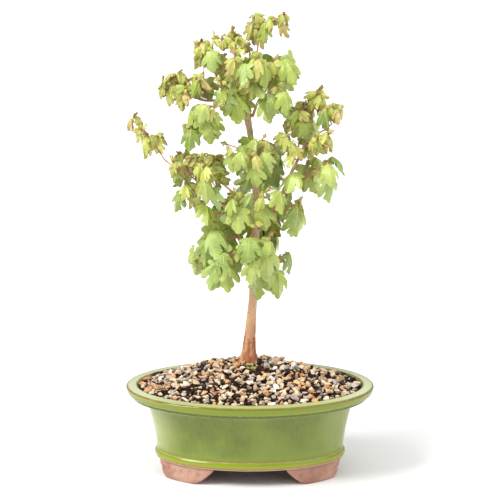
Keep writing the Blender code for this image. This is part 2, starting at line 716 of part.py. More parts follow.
def make_mass(name, shoots, leaves, collection, green):
    stem = add_mesh(name, *twig(shoots[0], *TWIG_RADII), green, collection)
    group = new_collection(name + "_parts")
    for shoot in shoots[1:]:
        add_mesh(name + "_shoot", *twig(shoot, TWIG_RADII[0] * 0.8, TWIG_RADII[1]), green, group)
    for leaf in leaves:
        add_mesh(name + "_leaf", *leaf.solid(), green, group)
    apply_boolean(stem, "UNION", group=group)
    for part in list(group.objects):
        bpy.data.objects.remove(part)
    bpy.data.collections.remove(group)
    stem.data.materials.clear()
    stem.data.materials.append(green)
    return keep_largest_body(stem)


def make_tree(collection, bark, twig_bark, green):
    limbs = {"trunk": make_trunk(collection, bark)}
    for name in LIMBS:
        limbs[name] = make_limb(name, limbs, collection, bark if name == "leader" else twig_bark)
    bpy.context.view_layer.update()
    graph = bpy.context.evaluated_depsgraph_get()
    skins = []
    for name in limbs:
        solid = bpy.data.meshes.new_from_object(collection.objects[name].evaluated_get(graph))
        points = [vertex.co.copy() for vertex in solid.vertices]
        skins.append((points, [tuple(side.vertices) for side in solid.polygons]))
        bpy.data.meshes.remove(solid)
    wood = tree_of(skins)
    shoots = {name: mass_shoots(name, limbs) for name in MASSES}
    rooms = {name: mass_room(name, shoots[name]) for name in MASSES}
    placed = []
    for name, own in shoots.items():
        others = [twig(shoot, *TWIG_RADII) for other in MASSES if other != name for shoot in shoots[other]]
        leaves = mass_leaves(name, own, rooms, wood, tree_of(others), placed)
        dropped = make_mass(name, own, leaves, collection, green)
        print(name, len(leaves), "leaves,", dropped, "scraps dropped")


def main():
    clear_scene()
    plant = new_collection(TREE)
    cutters = new_collection("cutters")
    cutters.hide_render = True
    glaze = make_material("green_glaze", (0.36, 0.5, 0.14), 0.18, coat=0.6)
    clay = make_material("unglazed_clay", (0.56, 0.33, 0.24), 0.85)
    earth = make_material("gravel_bed", (0.3, 0.25, 0.19), 0.95)
    bark = make_material("trunk_bark", (0.45, 0.27, 0.15), 0.8)
    twig_bark = make_material("young_bark", (0.4, 0.19, 0.11), 0.65)
    green = make_material("maple_leaf", (0.28, 0.46, 0.07), 0.5)
    make_pot(plant, cutters, glaze)
    make_feet(plant, clay)
    make_soil(plant, earth)
    make_tree(plant, bark, twig_bark, green)


main()
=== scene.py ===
# Field maple bonsai: the looks of the tree, its gravel bed and its glazed pot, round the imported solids

import json
import math
import random

import bmesh
import bpy
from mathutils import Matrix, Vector, noise
from mathutils.bvhtree import BVHTree
from mathutils.geometry import delaunay_2d_cdt

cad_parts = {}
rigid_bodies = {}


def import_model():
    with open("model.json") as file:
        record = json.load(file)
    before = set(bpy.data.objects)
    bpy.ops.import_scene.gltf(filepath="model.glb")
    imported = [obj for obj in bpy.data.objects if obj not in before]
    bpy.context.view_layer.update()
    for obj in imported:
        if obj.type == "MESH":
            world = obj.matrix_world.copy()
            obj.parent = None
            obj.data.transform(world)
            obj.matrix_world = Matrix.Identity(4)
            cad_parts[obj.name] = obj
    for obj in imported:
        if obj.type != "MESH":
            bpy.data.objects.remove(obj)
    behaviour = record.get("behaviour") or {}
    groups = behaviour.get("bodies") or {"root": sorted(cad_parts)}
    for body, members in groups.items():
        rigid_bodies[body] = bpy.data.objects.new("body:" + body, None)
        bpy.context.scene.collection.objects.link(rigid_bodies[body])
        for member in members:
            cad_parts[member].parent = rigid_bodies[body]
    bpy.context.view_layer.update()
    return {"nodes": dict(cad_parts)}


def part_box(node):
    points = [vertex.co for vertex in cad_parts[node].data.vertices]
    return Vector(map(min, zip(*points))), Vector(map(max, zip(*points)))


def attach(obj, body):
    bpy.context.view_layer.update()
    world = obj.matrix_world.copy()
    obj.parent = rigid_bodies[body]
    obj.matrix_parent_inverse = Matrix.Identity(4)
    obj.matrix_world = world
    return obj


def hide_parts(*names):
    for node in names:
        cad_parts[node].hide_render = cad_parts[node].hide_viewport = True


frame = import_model()
mm = 0.001
seam = 0.3 * mm  # the gap that the solids keep to each other
skyward = Vector((0, 0, 1))


# Colours are written as they look on screen, 0 to 255
def tone(*levels):
    levels = [level / 255 for level in levels]
    return (*[level / 12.92 if level <= 0.04045 else ((level + 0.055) / 1.055) ** 2.4 for level in levels], 1)


def inScene(name, data):
    thing = bpy.data.objects.new(name, data)
    bpy.context.scene.collection.objects.link(thing)
    return thing


def meshPiece(name, skin, material, smooth=True, outwards=False):
    mesh = bpy.data.meshes.new(name)
    mesh.from_pydata(skin[0], [], skin[1])
    mesh.materials.append(material)
    if smooth:
        mesh.shade_smooth()
    if outwards:
        shell = bmesh.new()
        shell.from_mesh(mesh)
        bmesh.ops.recalc_face_normals(shell, faces=shell.faces)
        shell.to_mesh(mesh)
        shell.free()
    return inScene(name, mesh)


def dress(piece, slot, *nodes):
    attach(piece, "root")
    if nodes:
        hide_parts(*nodes)


# Points and faces of a closed skin over rings that have the same number of points
def loft(rings):
    count = len(rings[0])
    points = [point for ring in rings for point in ring]
    faces = [tuple(range(count))[::-1]]
    for low in range(0, count * (len(rings) - 1), count):
        for side in range(count):
            after = (side + 1) % count
            faces.append((low + side, low + after, low + count + after, low + count + side))
    faces.append(tuple(range(len(points) - count, len(points))))
    return points, faces


# Several skins in one mesh
def gather(skins):
    points, faces = [], []
    for skin, sides in skins:
        faces += [tuple(len(points) + corner for corner in side) for side in sides]
        points += skin
    return points, faces


def skinOf(mesh):
    return [vertex.co.copy() for vertex in mesh.vertices], [tuple(side.vertices) for side in mesh.polygons]


def turned(side, other, turn):
    return side * math.cos(turn) + other * math.sin(turn)


# What is left of a direction square to an axis
def squareTo(axis, way):
    return (way - axis * way.dot(axis)).normalized()


def blend(first, last, share):
    return first + (last - first) * share


# Rings round a path; swell, where given, says how far from the middle each point lies
def tube(path, radii, sides, swell=None, axis=None):
    rings, side = [], None
    for number, (middle, radius) in enumerate(zip(path, radii)):
        if rings or axis is None:
            axis = (path[min(number + 1, len(path) - 1)] - path[max(number - 1, 0)]).normalized()
        side = squareTo(axis, side or axis.orthogonal())
        ring = []
        for corner in range(sides):
            turn = 2 * math.pi * corner / sides
            way = turned(side, axis.cross(side), turn)
            reach = swell(middle + way * radius, turn, number, radius) if swell else radius
            ring.append(middle + way * reach)
        rings.append(ring)
    return rings


# A node tree with short ways to add to it: a value is set on its socket, and a socket is linked to it
class Nodes:
    def __init__(self, tree):
        self.tree = tree

    def feed(self, socket, value):
        if isinstance(value, bpy.types.NodeSocket):
            self.tree.links.new(value, socket)
        else:
            socket.default_value = value

    def put(self, kind, settings=None, values=None, **inputs):
        node = self.tree.nodes.new(kind)
        for field, value in (settings or {}).items():
            setattr(node, field, value)
        for socket, value in (values or {}).items():
            self.feed(node.inputs[socket], value)
        for label, value in inputs.items():
            self.feed(node.inputs[label.replace("_", " ")], value)
        return node

    def reckon(self, operation, *values):
        return self.put("ShaderNodeMath", {"operation": operation}, dict(enumerate(values))).outputs[0]

    def times(self, one, other):
        return self.reckon("MULTIPLY", one, other)

    def larger(self, one, other):
        return self.reckon("MAXIMUM", one, other)

    def mix(self, share, first, second):
        return self.put("ShaderNodeMix", {"data_type": "RGBA"}, {0: share, 6: first, 7: second}).outputs[2]

    # A smooth step of a value between two levels, from 0 to 1 or between the two levels that follow
    def span(self, *levels):
        settings = {"interpolation_type": "SMOOTHSTEP"}
        return self.put("ShaderNodeMapRange", settings, dict(enumerate(levels))).outputs[0]


# A material, with masks over its object coordinates
class Look(Nodes):
    def __init__(self, name, **fixed):
        self.material = bpy.data.materials.new(name)
        self.material.use_nodes = True
        super().__init__(self.material.node_tree)
        self.surface = self.tree.nodes["Principled BSDF"].inputs
        for label, value in fixed.items():
            self.surface[label.replace("_", " ")].default_value = value
        self.place = self.drawnOut(1)

    # Object coordinates that draw a pattern out upwards
    def drawnOut(self, upwards):
        place = self.put("ShaderNodeTexCoord").outputs["Object"]
        return self.put("ShaderNodeMapping", Vector=place, Scale=(1, 1, upwards)).outputs[0]

    # A smooth step between two places in millimetres
    def climb(self, value, low, high, *levels):
        return self.span(value, low * mm, high * mm, *levels)

    # Colours laid over one another, each with the mask that shows it
    def layered(self, colour, *layers):
        for mask, tint in layers:
            colour = self.mix(mask, colour, tint)
        return colour

    def clouds(self, scale, detail, low, high, place=None):
        values = {"Vector": place or self.place, "Scale": scale, "Detail": detail, "Low": low, "High": high}
        return self.put("ShaderNodeGroup", {"node_tree": mottle}, values).outputs[0]

    def dots(self, scale, size, amount, place=None):
        values = {"Vector": place or self.place, "Scale": scale, "Size": size, "Amount": amount}
        return self.put("ShaderNodeGroup", {"node_tree": speckle}, values).outputs[0]

    # The channels of a colour attribute
    def painted(self, layer):
        colour = self.put("ShaderNodeVertexColor", {"layer_name": layer}).outputs["Color"]
        return self.put("ShaderNodeSeparateColor", Color=colour).outputs

    def finish(self, colour, height, strength, distance):
        self.feed(self.surface["Base Color"], colour)
        bump = self.put("ShaderNodeBump", Height=height, Strength=strength, Distance=distance * mm)
        self.feed(self.surface["Normal"], bump.outputs[0])
        return self.material


def newGroup(name, inputs, output):
    tree = bpy.data.node_groups.new(name, "ShaderNodeTree")
    for label, value in inputs.items():
        kind = "NodeSocketVector" if isinstance(value, tuple) else "NodeSocketFloat"
        tree.interface.new_socket(label, in_out="INPUT", socket_type=kind).default_value = value
    tree.interface.new_socket(output, in_out="OUTPUT", socket_type="NodeSocketFloat")
    return Nodes(tree), tree.nodes.new("NodeGroupInput").outputs, tree.nodes.new("NodeGroupOutput").inputs


# Soft clouds, for glaze, clay, stone, bark and leaf
def makeMottle():
    inputs = {"Vector": (0, 0, 0), "Scale": 40.0, "Detail": 3.0, "Low": 0.35, "High": 0.65}
    nodes, start, end = newGroup("mottle", inputs, "Value")
    values = {label: start[label] for label in ("Vector", "Scale", "Detail")}
    cloud = nodes.put("ShaderNodeTexNoise", values=values).outputs[0]
    nodes.feed(end["Value"], nodes.span(cloud, start["Low"], start["High"]))
    return nodes.tree


# Scattered dots: only some cells of the pattern have one
def makeSpeckle():
    inputs = {"Vector": (0, 0, 0), "Scale": 300.0, "Size": 0.3, "Amount": 0.3}
    nodes, start, end = newGroup("speckle", inputs, "Mask")
    cells = nodes.put("ShaderNodeTexVoronoi", Vector=start["Vector"], Scale=start["Scale"]).outputs
    dot = nodes.span(cells["Distance"], start["Size"], nodes.times(start["Size"], 0.6))
    pick = nodes.put("ShaderNodeSeparateColor", Color=cells["Color"]).outputs[0]
    nodes.feed(end["Mask"], nodes.times(dot, nodes.reckon("LESS_THAN", pick, start["Amount"])))
    return nodes.tree


mottle = makeMottle()
speckle = makeSpeckle()


# Two colours in clouds, dots of a third one where it is given, and a fine relief. A look gives clouds and
# grain as scale, detail, low and high, dots as scale, size and amount, relief as strength and millimetres
def plainMaterial(name, look, colours=None):
    skin = Look(name, Roughness=look["roughness"], Specular_IOR_Level=look.get("sheen", 0.5))
    first, second, *spot = colours or look["colours"]
    colour = skin.mix(skin.clouds(*look["clouds"]), first, second)
    height = skin.clouds(*look["grain"])
    if spot:
        dots = skin.dots(*look["dots"])
        colour = skin.mix(skin.times(dots, look["dotShare"]), colour, *spot)
        height = skin.reckon("MULTIPLY_ADD", dots, look.get("dotHeight", 0), height)
    return skin.finish(colour, height, *look["relief"])


# The pot
potLook = {
    "body": tone(90, 106, 26), "bodyPale": tone(117, 135, 46),
    # A painted sheen towards both ends of the oval, lighter still on the left end as painted light
    "endsSheenGlaze": tone(156, 164, 98), "leftLitGlaze": tone(184, 191, 130),
    "pool": tone(138, 146, 14),
    "lipFace": tone(122, 139, 2), "lip": tone(194, 200, 160), "lipFront": tone(156, 170, 74),
    # Painted shade in a band under the lip, and painted highlights in two pale lines beside it
    "underLipShade": tone(88, 98, 18), "highlightLine": tone(160, 166, 128),
    "beltEdge": tone(206, 200, 140), "beltTop": tone(130, 154, 10), "beltLow": tone(162, 144, 40),
    # The last colour here is the bare clay darkened, as painted shade on the pot's bottom face
    "break": tone(112, 78, 30), "bare": tone(208, 180, 148), "undersideShade": tone(98, 74, 60),
    "roughness": 0.14,
    "clouds": (22, 4, 0.3, 0.7), "unevenness": (120, 3, 0.25, 0.6), "pits": (260, 0.16, 0.09),
    "streaks": (420, 3, 0.3, 0.75), "waves": (60, 2, 0, 1), "drawnOut": 0.08,  # these two run down
    "relief": (0.35, 0.4),
    "endsSheenFrom": (65, 112),  # mm from the middle, where the painted sheen at the oval's ends sets in and where it is full
    # mm from the middle, where the painted light on the left end sets in and where it is full
    "litLeftFrom": (-40, -90),
    "frontFrom": (-30, -78),
}
potSizes = {  # in millimetres; rows give how far in from the rim, and how high
    "lipWidth": 11.7,
    "lipDepth": 8.6,
    "neck": (21.5, 76),
    "waist": (30.8, 32),
    "belt": (28.8, 23.5),
    "beltThickness": 7.4,
    "beltBulge": 2.4,
    "beltEdges": ((19.6, 20.5), (26.7, 27.3)),
    "base": ((4, 0), (2.2, 0.1), (1.6, 0.5), (1.4, 1.1)),  # from the belt and the base
    "bodyCurve": 1.35,
    "neckCurve": ((-1.6, 1.2), (7.6, -4.7)),  # from the neck, and from the rim and the lip's foot
    "underLipShade": (-3.9, -1.5),  # a band of painted shade under the lip, from the lip's foot
    # two pale lines of painted highlight under the lip, from the lip's foot
    "highlightLines": ((-4.7, -4.2), (-1.4, -0.7)),
    "lipRows": (  # from the lip's foot, with how thin and how thick the glaze lies
        (6.6, -4.4, 0, 0), (6.2, -3.9, 0, 0), (6.1, -2.8, 0, 0), (6, -1.6, 0, 0), (4.7, -1.3, 0, 0),
        (3.8, -0.9, 0, 0), (3.1, -0.4, 0, 0.4), (2.3, 0, 0, 1), (1.5, 0.7, 0, 1), (0.7, 2.6, 0, 1),
        (0.15, 4.6, 0, 0.9), (0, 6, 0.1, 0.6), (0.3, 7, 0.75, 0.2), (0.9, 7.6, 1, 0), (1.7, 7.95, 0.55, 0),
        (3, 8.2, 0, 0), (6, 8.45, 0, 0), (9.4, 8.6, 0, 0), (10.5, 8.55, 0.5, 0), (11.2, 8.25, 1, 0),
        (11.7, 7.7, 0.6, 0.2), (11.9, 6.8, 0.1, 0.5),
    ),
    "wall": 6.2,
    "floor": 10,
    "soilEdge": 89.5,
    "crease": 50,  # degrees
    "drainRadius": 6,
    "drainSpacing": 90,
    "sides": 160,
    "steps": {"belt": 12, "body": 22, "neck": 8},
}
potLow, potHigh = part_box("pot")
rimTop = potHigh.z / mm
baseHeight = potLow.z / mm
lipFoot = rimTop - potSizes["lipDepth"]


# A point on the rim's oval moved straight inwards, in metres, from sizes in millimetres
def ovalPoint(degrees, inset, height):
    turn = math.radians(degrees)
    x = potHigh.x * math.cos(turn)
    y = potHigh.y * math.sin(turn)
    outwards = Vector((x / potHigh.x**2, y / potHigh.y**2, 0)).normalized()
    return Vector((x, y, height * mm)) - outwards * inset * mm


def ovalRing(inset, height, sides=potSizes["sides"]):
    return [ovalPoint(360 * side / sides, inset, height) for side in range(sides)]


def shares(count):
    return [step / count for step in range(count + 1)]


# The rows of the outer face from the base up, each with how thin and how thick the glaze lies there,
# and whether the clay is bare
def potOutside():
    size = potSizes
    steps = size["steps"]
    (beltInset, beltHeight), waist, neck = size["belt"], size["waist"], size["neck"]
    rows = [(beltInset + inset, baseHeight + rise, 0, 0, 1) for inset, rise in size["base"]]
    for share in shares(steps["belt"]):
        turn = math.radians(blend(-80, 80, share))
        inset = beltInset + size["beltBulge"] * (1 - math.cos(turn))
        height = beltHeight + math.sin(turn) * size["beltThickness"] / 2
        rows.append((inset, height, 0.6 * abs(math.sin(turn)) ** 3, 1, 0))
    for share in shares(steps["body"]):
        inset = blend(waist[0], neck[0], share ** size["bodyCurve"])
        rows.append((inset, blend(waist[1], neck[1], share), 0, max(0, 0.2 - 4 * share), 0))
    (inwards, upwards), (lastInset, lastRise) = size["neckCurve"]
    for share in shares(steps["neck"]):
        rise = 0.55 * share + 0.45 * (1 - math.cos(share * math.pi / 2))
        inset = blend(neck[0] + inwards, lastInset, share)
        rows.append((inset, blend(neck[1] + upwards, lipFoot + lastRise, rise), 0, 0.1 * share, 0))
    return rows + [(inset, lipFoot + rise, thin, pool, 0) for inset, rise, thin, pool in size["lipRows"]]


# The rows of the inner face from under the lip down to the edge of the floor
def potInside():
    size = potSizes
    inner, floor = size["waist"][0] + size["wall"], baseHeight + size["floor"]
    return [
        (size["lipWidth"] + 0.8, size["soilEdge"], 0, 0, 0),
        (size["lipWidth"] + 2.5, lipFoot - 1.4, 0, 0, 0.5),
        (size["neck"][0] + size["wall"], size["neck"][1] - 2, 0, 0, 1),
        (inner - 2, size["waist"][1] + 14, 0, 0, 1),
        (inner + 2, floor + 4, 0, 0, 1),
        (inner + 9, floor, 0, 0, 1),
    ]


def makeGlaze():
    look, size = potLook, potSizes
    glaze = Look("greenGlaze", Coat_Weight=0.3, Coat_Roughness=0.05, IOR=1.46)
    thinness, pooling, bareness, *_ = glaze.painted("glaze")
    runs = glaze.drawnOut(look["drawnOut"])
    sideways, depth, height = glaze.put("ShaderNodeSeparateXYZ", Vector=glaze.place).outputs

    # A band of heights, as a mask with soft edges
    def band(low, high):
        rising = glaze.climb(height, low - 0.2, low + 0.1)
        return glaze.times(rising, glaze.climb(height, high + 0.2, high - 0.1))

    # Painted sheen: the glaze is lighter towards the oval's ends, standing in for their reflection
    ends = glaze.climb(glaze.reckon("ABSOLUTE", sideways), *look["endsSheenFrom"])
    # Painted light: the glaze's left end is lighter, as if lit from the left
    litLeftMask = glaze.climb(sideways, *look["litLeftFrom"])
    front = glaze.climb(depth, *look["frontFrom"], 0, 0.8)
    onLip = glaze.climb(height, rimTop - 1.6, rimTop - 0.7)
    upperBelt = glaze.climb(height, size["belt"][1] - 1.6, size["belt"][1] + 0.6)
    pits = glaze.dots(*look["pits"])
    uneven = glaze.clouds(*look["unevenness"])
    deep = glaze.layered(
        look["beltLow"],
        (upperBelt, look["beltTop"]),
        (glaze.climb(height, lipFoot, lipFoot + 1), look["lipFace"]),
        (glaze.larger(*[band(*edge) for edge in size["beltEdges"]]), look["beltEdge"]),
    )
    # Painted highlights: two pale lines under the lip, where its bead and edge catch the light
    lines = glaze.larger(*[band(lipFoot + low, lipFoot + high) for low, high in size["highlightLines"]])
    # Painted shade: the pot's bottom face takes a darker clay colour, so that the gap under the pot looks
    # dark
    raised = glaze.climb(height, baseHeight, baseHeight + 0.4)
    colour = glaze.layered(
        look["body"],
        (glaze.clouds(*look["clouds"]), look["bodyPale"]),
        # The painted sheen at the ends, with painted light on the left end
        (ends, glaze.mix(litLeftMask, look["endsSheenGlaze"], look["leftLitGlaze"])),
        # Painted shade under the lip's overhang
        (band(*[lipFoot + rise for rise in size["underLipShade"]]), look["underLipShade"]),
        (lines, look["highlightLine"]),
        (onLip, glaze.mix(front, look["lip"], look["lipFront"])),
        (glaze.times(glaze.clouds(*look["streaks"], runs), 0.3), look["pool"]),
        (pooling, deep),
        (glaze.times(pits, 0.6), look["break"]),
        (glaze.times(thinness, glaze.span(uneven, 0, 1, 0.7, 1)), look["break"]),
        (bareness, glaze.mix(raised, look["undersideShade"], look["bare"])),
    )
    rough = glaze.reckon("ADD", glaze.span(uneven, 0, 1, 0.04, 0), look["roughness"])
    glaze.feed(glaze.surface["Roughness"], glaze.larger(rough, glaze.times(bareness, 0.85)))
    waves = glaze.reckon("ADD", glaze.clouds(*look["waves"], runs), glaze.times(pits, -0.5))
    return glaze.finish(colour, waves, *look["relief"])


def makePot(glaze):
    size = potSizes
    profile = potOutside() + potInside()
    pot = meshPiece("glazedPot", loft([ovalRing(*row[:2]) for row in profile]), glaze, outwards=True)
    fired = pot.data.color_attributes.new("glaze", "FLOAT_COLOR", "POINT")
    for number, point in enumerate(fired.data):
        point.color = (*profile[number // size["sides"]][2:], 1)
    for side in (-1, 1):
        bpy.ops.mesh.primitive_cylinder_add(
            vertices=48, radius=size["drainRadius"] * mm, depth=4 * size["floor"] * mm,
            location=(side * size["drainSpacing"] / 2 * mm, 0, baseHeight * mm),
        )
        drill = bpy.context.object
        cut = pot.modifiers.new("drain", "BOOLEAN")
        cut.operation = "DIFFERENCE"
        cut.object = drill
        pot.data = evaluated(pot)
        bpy.data.objects.remove(drill)
    pot.data.set_sharp_from_angle(angle=math.radians(size["crease"]))
    dress(pot, "glazed_pot", "pot")


# A piece's mesh with its modifier worked in; the modifier is gone afterwards
def evaluated(piece):
    bpy.context.view_layer.update()
    graph = bpy.context.evaluated_depsgraph_get()
    mesh = bpy.data.meshes.new_from_object(piece.evaluated_get(graph))
    piece.modifiers.clear()
    return mesh


# The feet
footSizes = {
    "angles": (42, 138, 222, 318),
    "spread": 27,  # degrees of the oval to each side
    "flat": 0.46,  # the share that touches the ground
    "cove": 1.75,  # how hollow the ends are: below 1 they are rounded the other way
    "inset": 32.5,  # in millimetres, as what follows
    "thickness": 16,
    "edge": 2.2,
    "toe": 1.6,
    "belly": 0.36,
    "dimple": 1.5,  # the deepest
    "dimpleHeight": 10.5,
    "dimpleReach": 3.4,
    "dimpleWave": (1.5, 19),  # how high the row's waves are, and how many go round
    "dimples": 54,  # round the oval
    "steps": 56,
    "faceSteps": 14,
    "crease": 40,  # degrees
}
footLook = {
    "colours": (tone(188, 146, 128), tone(158, 112, 94), tone(108, 78, 66)),  # clay, darker clay and smoke
    "roughness": 0.88,
    "clouds": (45, 5, 0.35, 0.7), "dots": (520, 0.3, 0.35), "dotShare": 0.35, "dotHeight": 0.5,
    "grain": (170, 4, 0.2, 0.8), "relief": (0.6, 0.8),
}


# How far the potter's fingers pressed the foot's face in, in one wavy row
def footDimple(degrees, height):
    size = footSizes
    turn = math.radians(degrees)
    wave, waves = size["dimpleWave"]
    row = size["dimpleHeight"] + wave * math.sin(turn * waves)
    deep = max(0, 1 - ((height - row) / size["dimpleReach"]) ** 2)
    return size["dimple"] * deep * max(0, math.cos(turn * size["dimples"]))


def makeFeet(clay):
    size = footSizes
    top = baseHeight - seam / mm
    inner, toe = size["inset"] + size["thickness"], size["toe"]
    for number, middle in enumerate(size["angles"]):
        rings = []
        for step in shares(size["steps"]):
            share = 2 * step - 1
            outer = max(0, abs(share) - size["flat"]) / (1 - size["flat"])
            low = (top - size["edge"]) * outer ** size["cove"]
            angle = middle + share * size["spread"]
            ring = []
            for turn in (90, 60, 30):
                turn = math.radians(turn)
                inset = size["inset"] + toe * math.sin(turn)
                ring.append(ovalPoint(angle, inset, low + toe * (1 - math.cos(turn))))
            for face in shares(size["faceSteps"]):
                height = blend(low + toe, top, face)
                belly = size["belly"] * math.sin(math.pi * (height - low) / max(top - low, 0.1))
                pressed = footDimple(angle, height) if outer < 0.9 else 0
                ring.append(ovalPoint(angle, size["inset"] - belly + pressed, height))
            rings.append(ring + [ovalPoint(angle, inner, top), ovalPoint(angle, inner, low)])
        foot = meshPiece(f"clayFoot{number + 1}", loft(rings), clay, outwards=True)
        foot.data.set_sharp_from_angle(angle=math.radians(size["crease"]))
        dress(foot, "unglazed_feet", f"foot_{number + 1}")


makePot(makeGlaze())
makeFeet(plainMaterial("bareClay", footLook))
print("pot and feet made")


# The bed of earth, heaped up from under the rim to the trunk's foot
bedSizes = {
    "seatHeight": 105.5,
    "seatRadius": 15,
    "rise": 30,  # rings from the edge to the seat
    "reach": 1.035,  # how far they go in towards the trunk, of the way from the wall to the seat
    "lumps": 1.1,  # mm
    "lumpSize": 5,
    "collar": 2.2,  # mm that the earth rises round the trunk's foot
    "trunkFoot": Vector((-1.5, 34, 0)),
}
bedLook = {
    "colours": (tone(30, 17, 9), tone(66, 45, 29)),  # earth and dust
    "roughness": 0.95, "sheen": 0.2,
    "clouds": (260, 5, 0.4, 0.72), "grain": (500, 5, 0.2, 0.8), "relief": (0.9, 0.8),
}


def bedRing(share, sides):
    size = bedSizes
    lift = math.sin(min(1, share) * math.pi / 2)
    collar = size["collar"] * mm * max(0, 6 * min(1, share) - 5)
    ring = []
    for outer in ovalRing(potInside()[0][0] + 0.3, potSizes["soilEdge"], sides):
        way = turned(Vector((1, 0, 0)), Vector((0, 1, 0)), 2 * math.pi * len(ring) / sides)
        point = outer.lerp((size["trunkFoot"] + way * size["seatRadius"]) * mm, share)
        point.z = blend(outer.z, size["seatHeight"] * mm, lift) + collar
        ring.append(point)
    return ring


def makeBed():
    size = bedSizes
    floor = baseHeight + potSizes["floor"] + 0.3
    rings = [ovalRing(inset + 0.3, max(height, floor)) for inset, height, *_ in potInside()[::-1]]
    for step in shares(size["rise"])[1:]:
        share = size["reach"] * step
        rings.append(bedRing(share, potSizes["sides"]))
        for point in rings[-1]:
            fade = min(1, 5 * share) * (1 - share**6)
            point.z += noise.noise(point / (size["lumpSize"] * mm)) * size["lumps"] * mm * fade
    bed = meshPiece("earthBed", loft(rings), plainMaterial("darkEarth", bedLook), outwards=True)
    dress(bed, "gravel_bed", "soil")


# The gravel: crushed stones in six colours, strewn over the bed by one node tree
gravelSizes = {
    "shapes": 10,
    "corners": 10,  # of a stone
    "wide": (0.62, 0.9),  # of its length
    "flat": (0.45, 0.72),
    "rounding": 0.035,  # how far apart the points of one corner lie, of the stone's length
    "edge": 0.035,  # the share of the way in from the wall that stays free of stones
    "grades": {
        "coarse": {"spacing": 9.2, "small": 6.6, "large": 10.6, "lift": 0.6, "seed": 11, "kept": 1},
        "middle": {"spacing": 5.9, "small": 5.4, "large": 8.2, "lift": 0.35, "seed": 5, "kept": 0.93},
        "fine": {"spacing": 3.9, "small": 2.8, "large": 4.8, "lift": 0.1, "seed": 23, "kept": 0.72},
    },
    "barePatch": (6 * mm, 8 * mm, 101 * mm),  # where fewer light stones lie, in front of the trunk
    "bareRadius": 13,
    "tilt": 0.7,  # radians
    "ground": (96, 24),  # sides and rings of the skin that the stones are strewn on
}
# Each colour with its share of the stones, and whether it keeps clear of the bare patch
gravelColours = {
    "Beige": (0.34, tone(236, 216, 188), tone(196, 170, 140), True),
    "Tan": (0.18, tone(230, 194, 152), tone(182, 142, 102), True),
    "Grey": (0.18, tone(198, 186, 174), tone(146, 134, 126), True),
    "Dark": (0.18, tone(56, 39, 29), tone(22, 14, 10), False),
    "White": (0.06, tone(250, 244, 232), tone(230, 218, 198), True),
    "Orange": (0.06, tone(236, 178, 120), tone(206, 140, 88), False),
}
stoneLook = {
    "roughness": 0.8, "sheen": 0.3,
    "clouds": (170, 2, 0.3, 0.7), "dots": (900, 0.35, 0.3), "dotShare": 0.4,
    "grain": (900, 4, 0.2, 0.8), "relief": (0.6, 0.3),
}


def makeStone(number):
    chance = random.Random(f"stone {number}")
    stone = bmesh.new()
    wide, flat = chance.uniform(*gravelSizes["wide"]), chance.uniform(*gravelSizes["flat"])
    for _ in range(gravelSizes["corners"]):
        corner = Vector([chance.gauss(0, 1) for _ in range(3)]).normalized()
        for _ in range(3):
            nudge = Vector([chance.uniform(-1, 1) for _ in range(3)]) * gravelSizes["rounding"]
            stone.verts.new(Vector((corner.x, corner.y * wide, corner.z * flat)) * 0.5 + nudge)
    bmesh.ops.convex_hull(stone, input=stone.verts)
    loose = [vertex for vertex in stone.verts if not vertex.link_faces]
    bmesh.ops.delete(stone, geom=loose, context="VERTS")
    mesh = bpy.data.meshes.new(f"stone{number}")
    stone.to_mesh(mesh)
    stone.free()
    return bpy.data.objects.new(f"stone{number}", mesh)


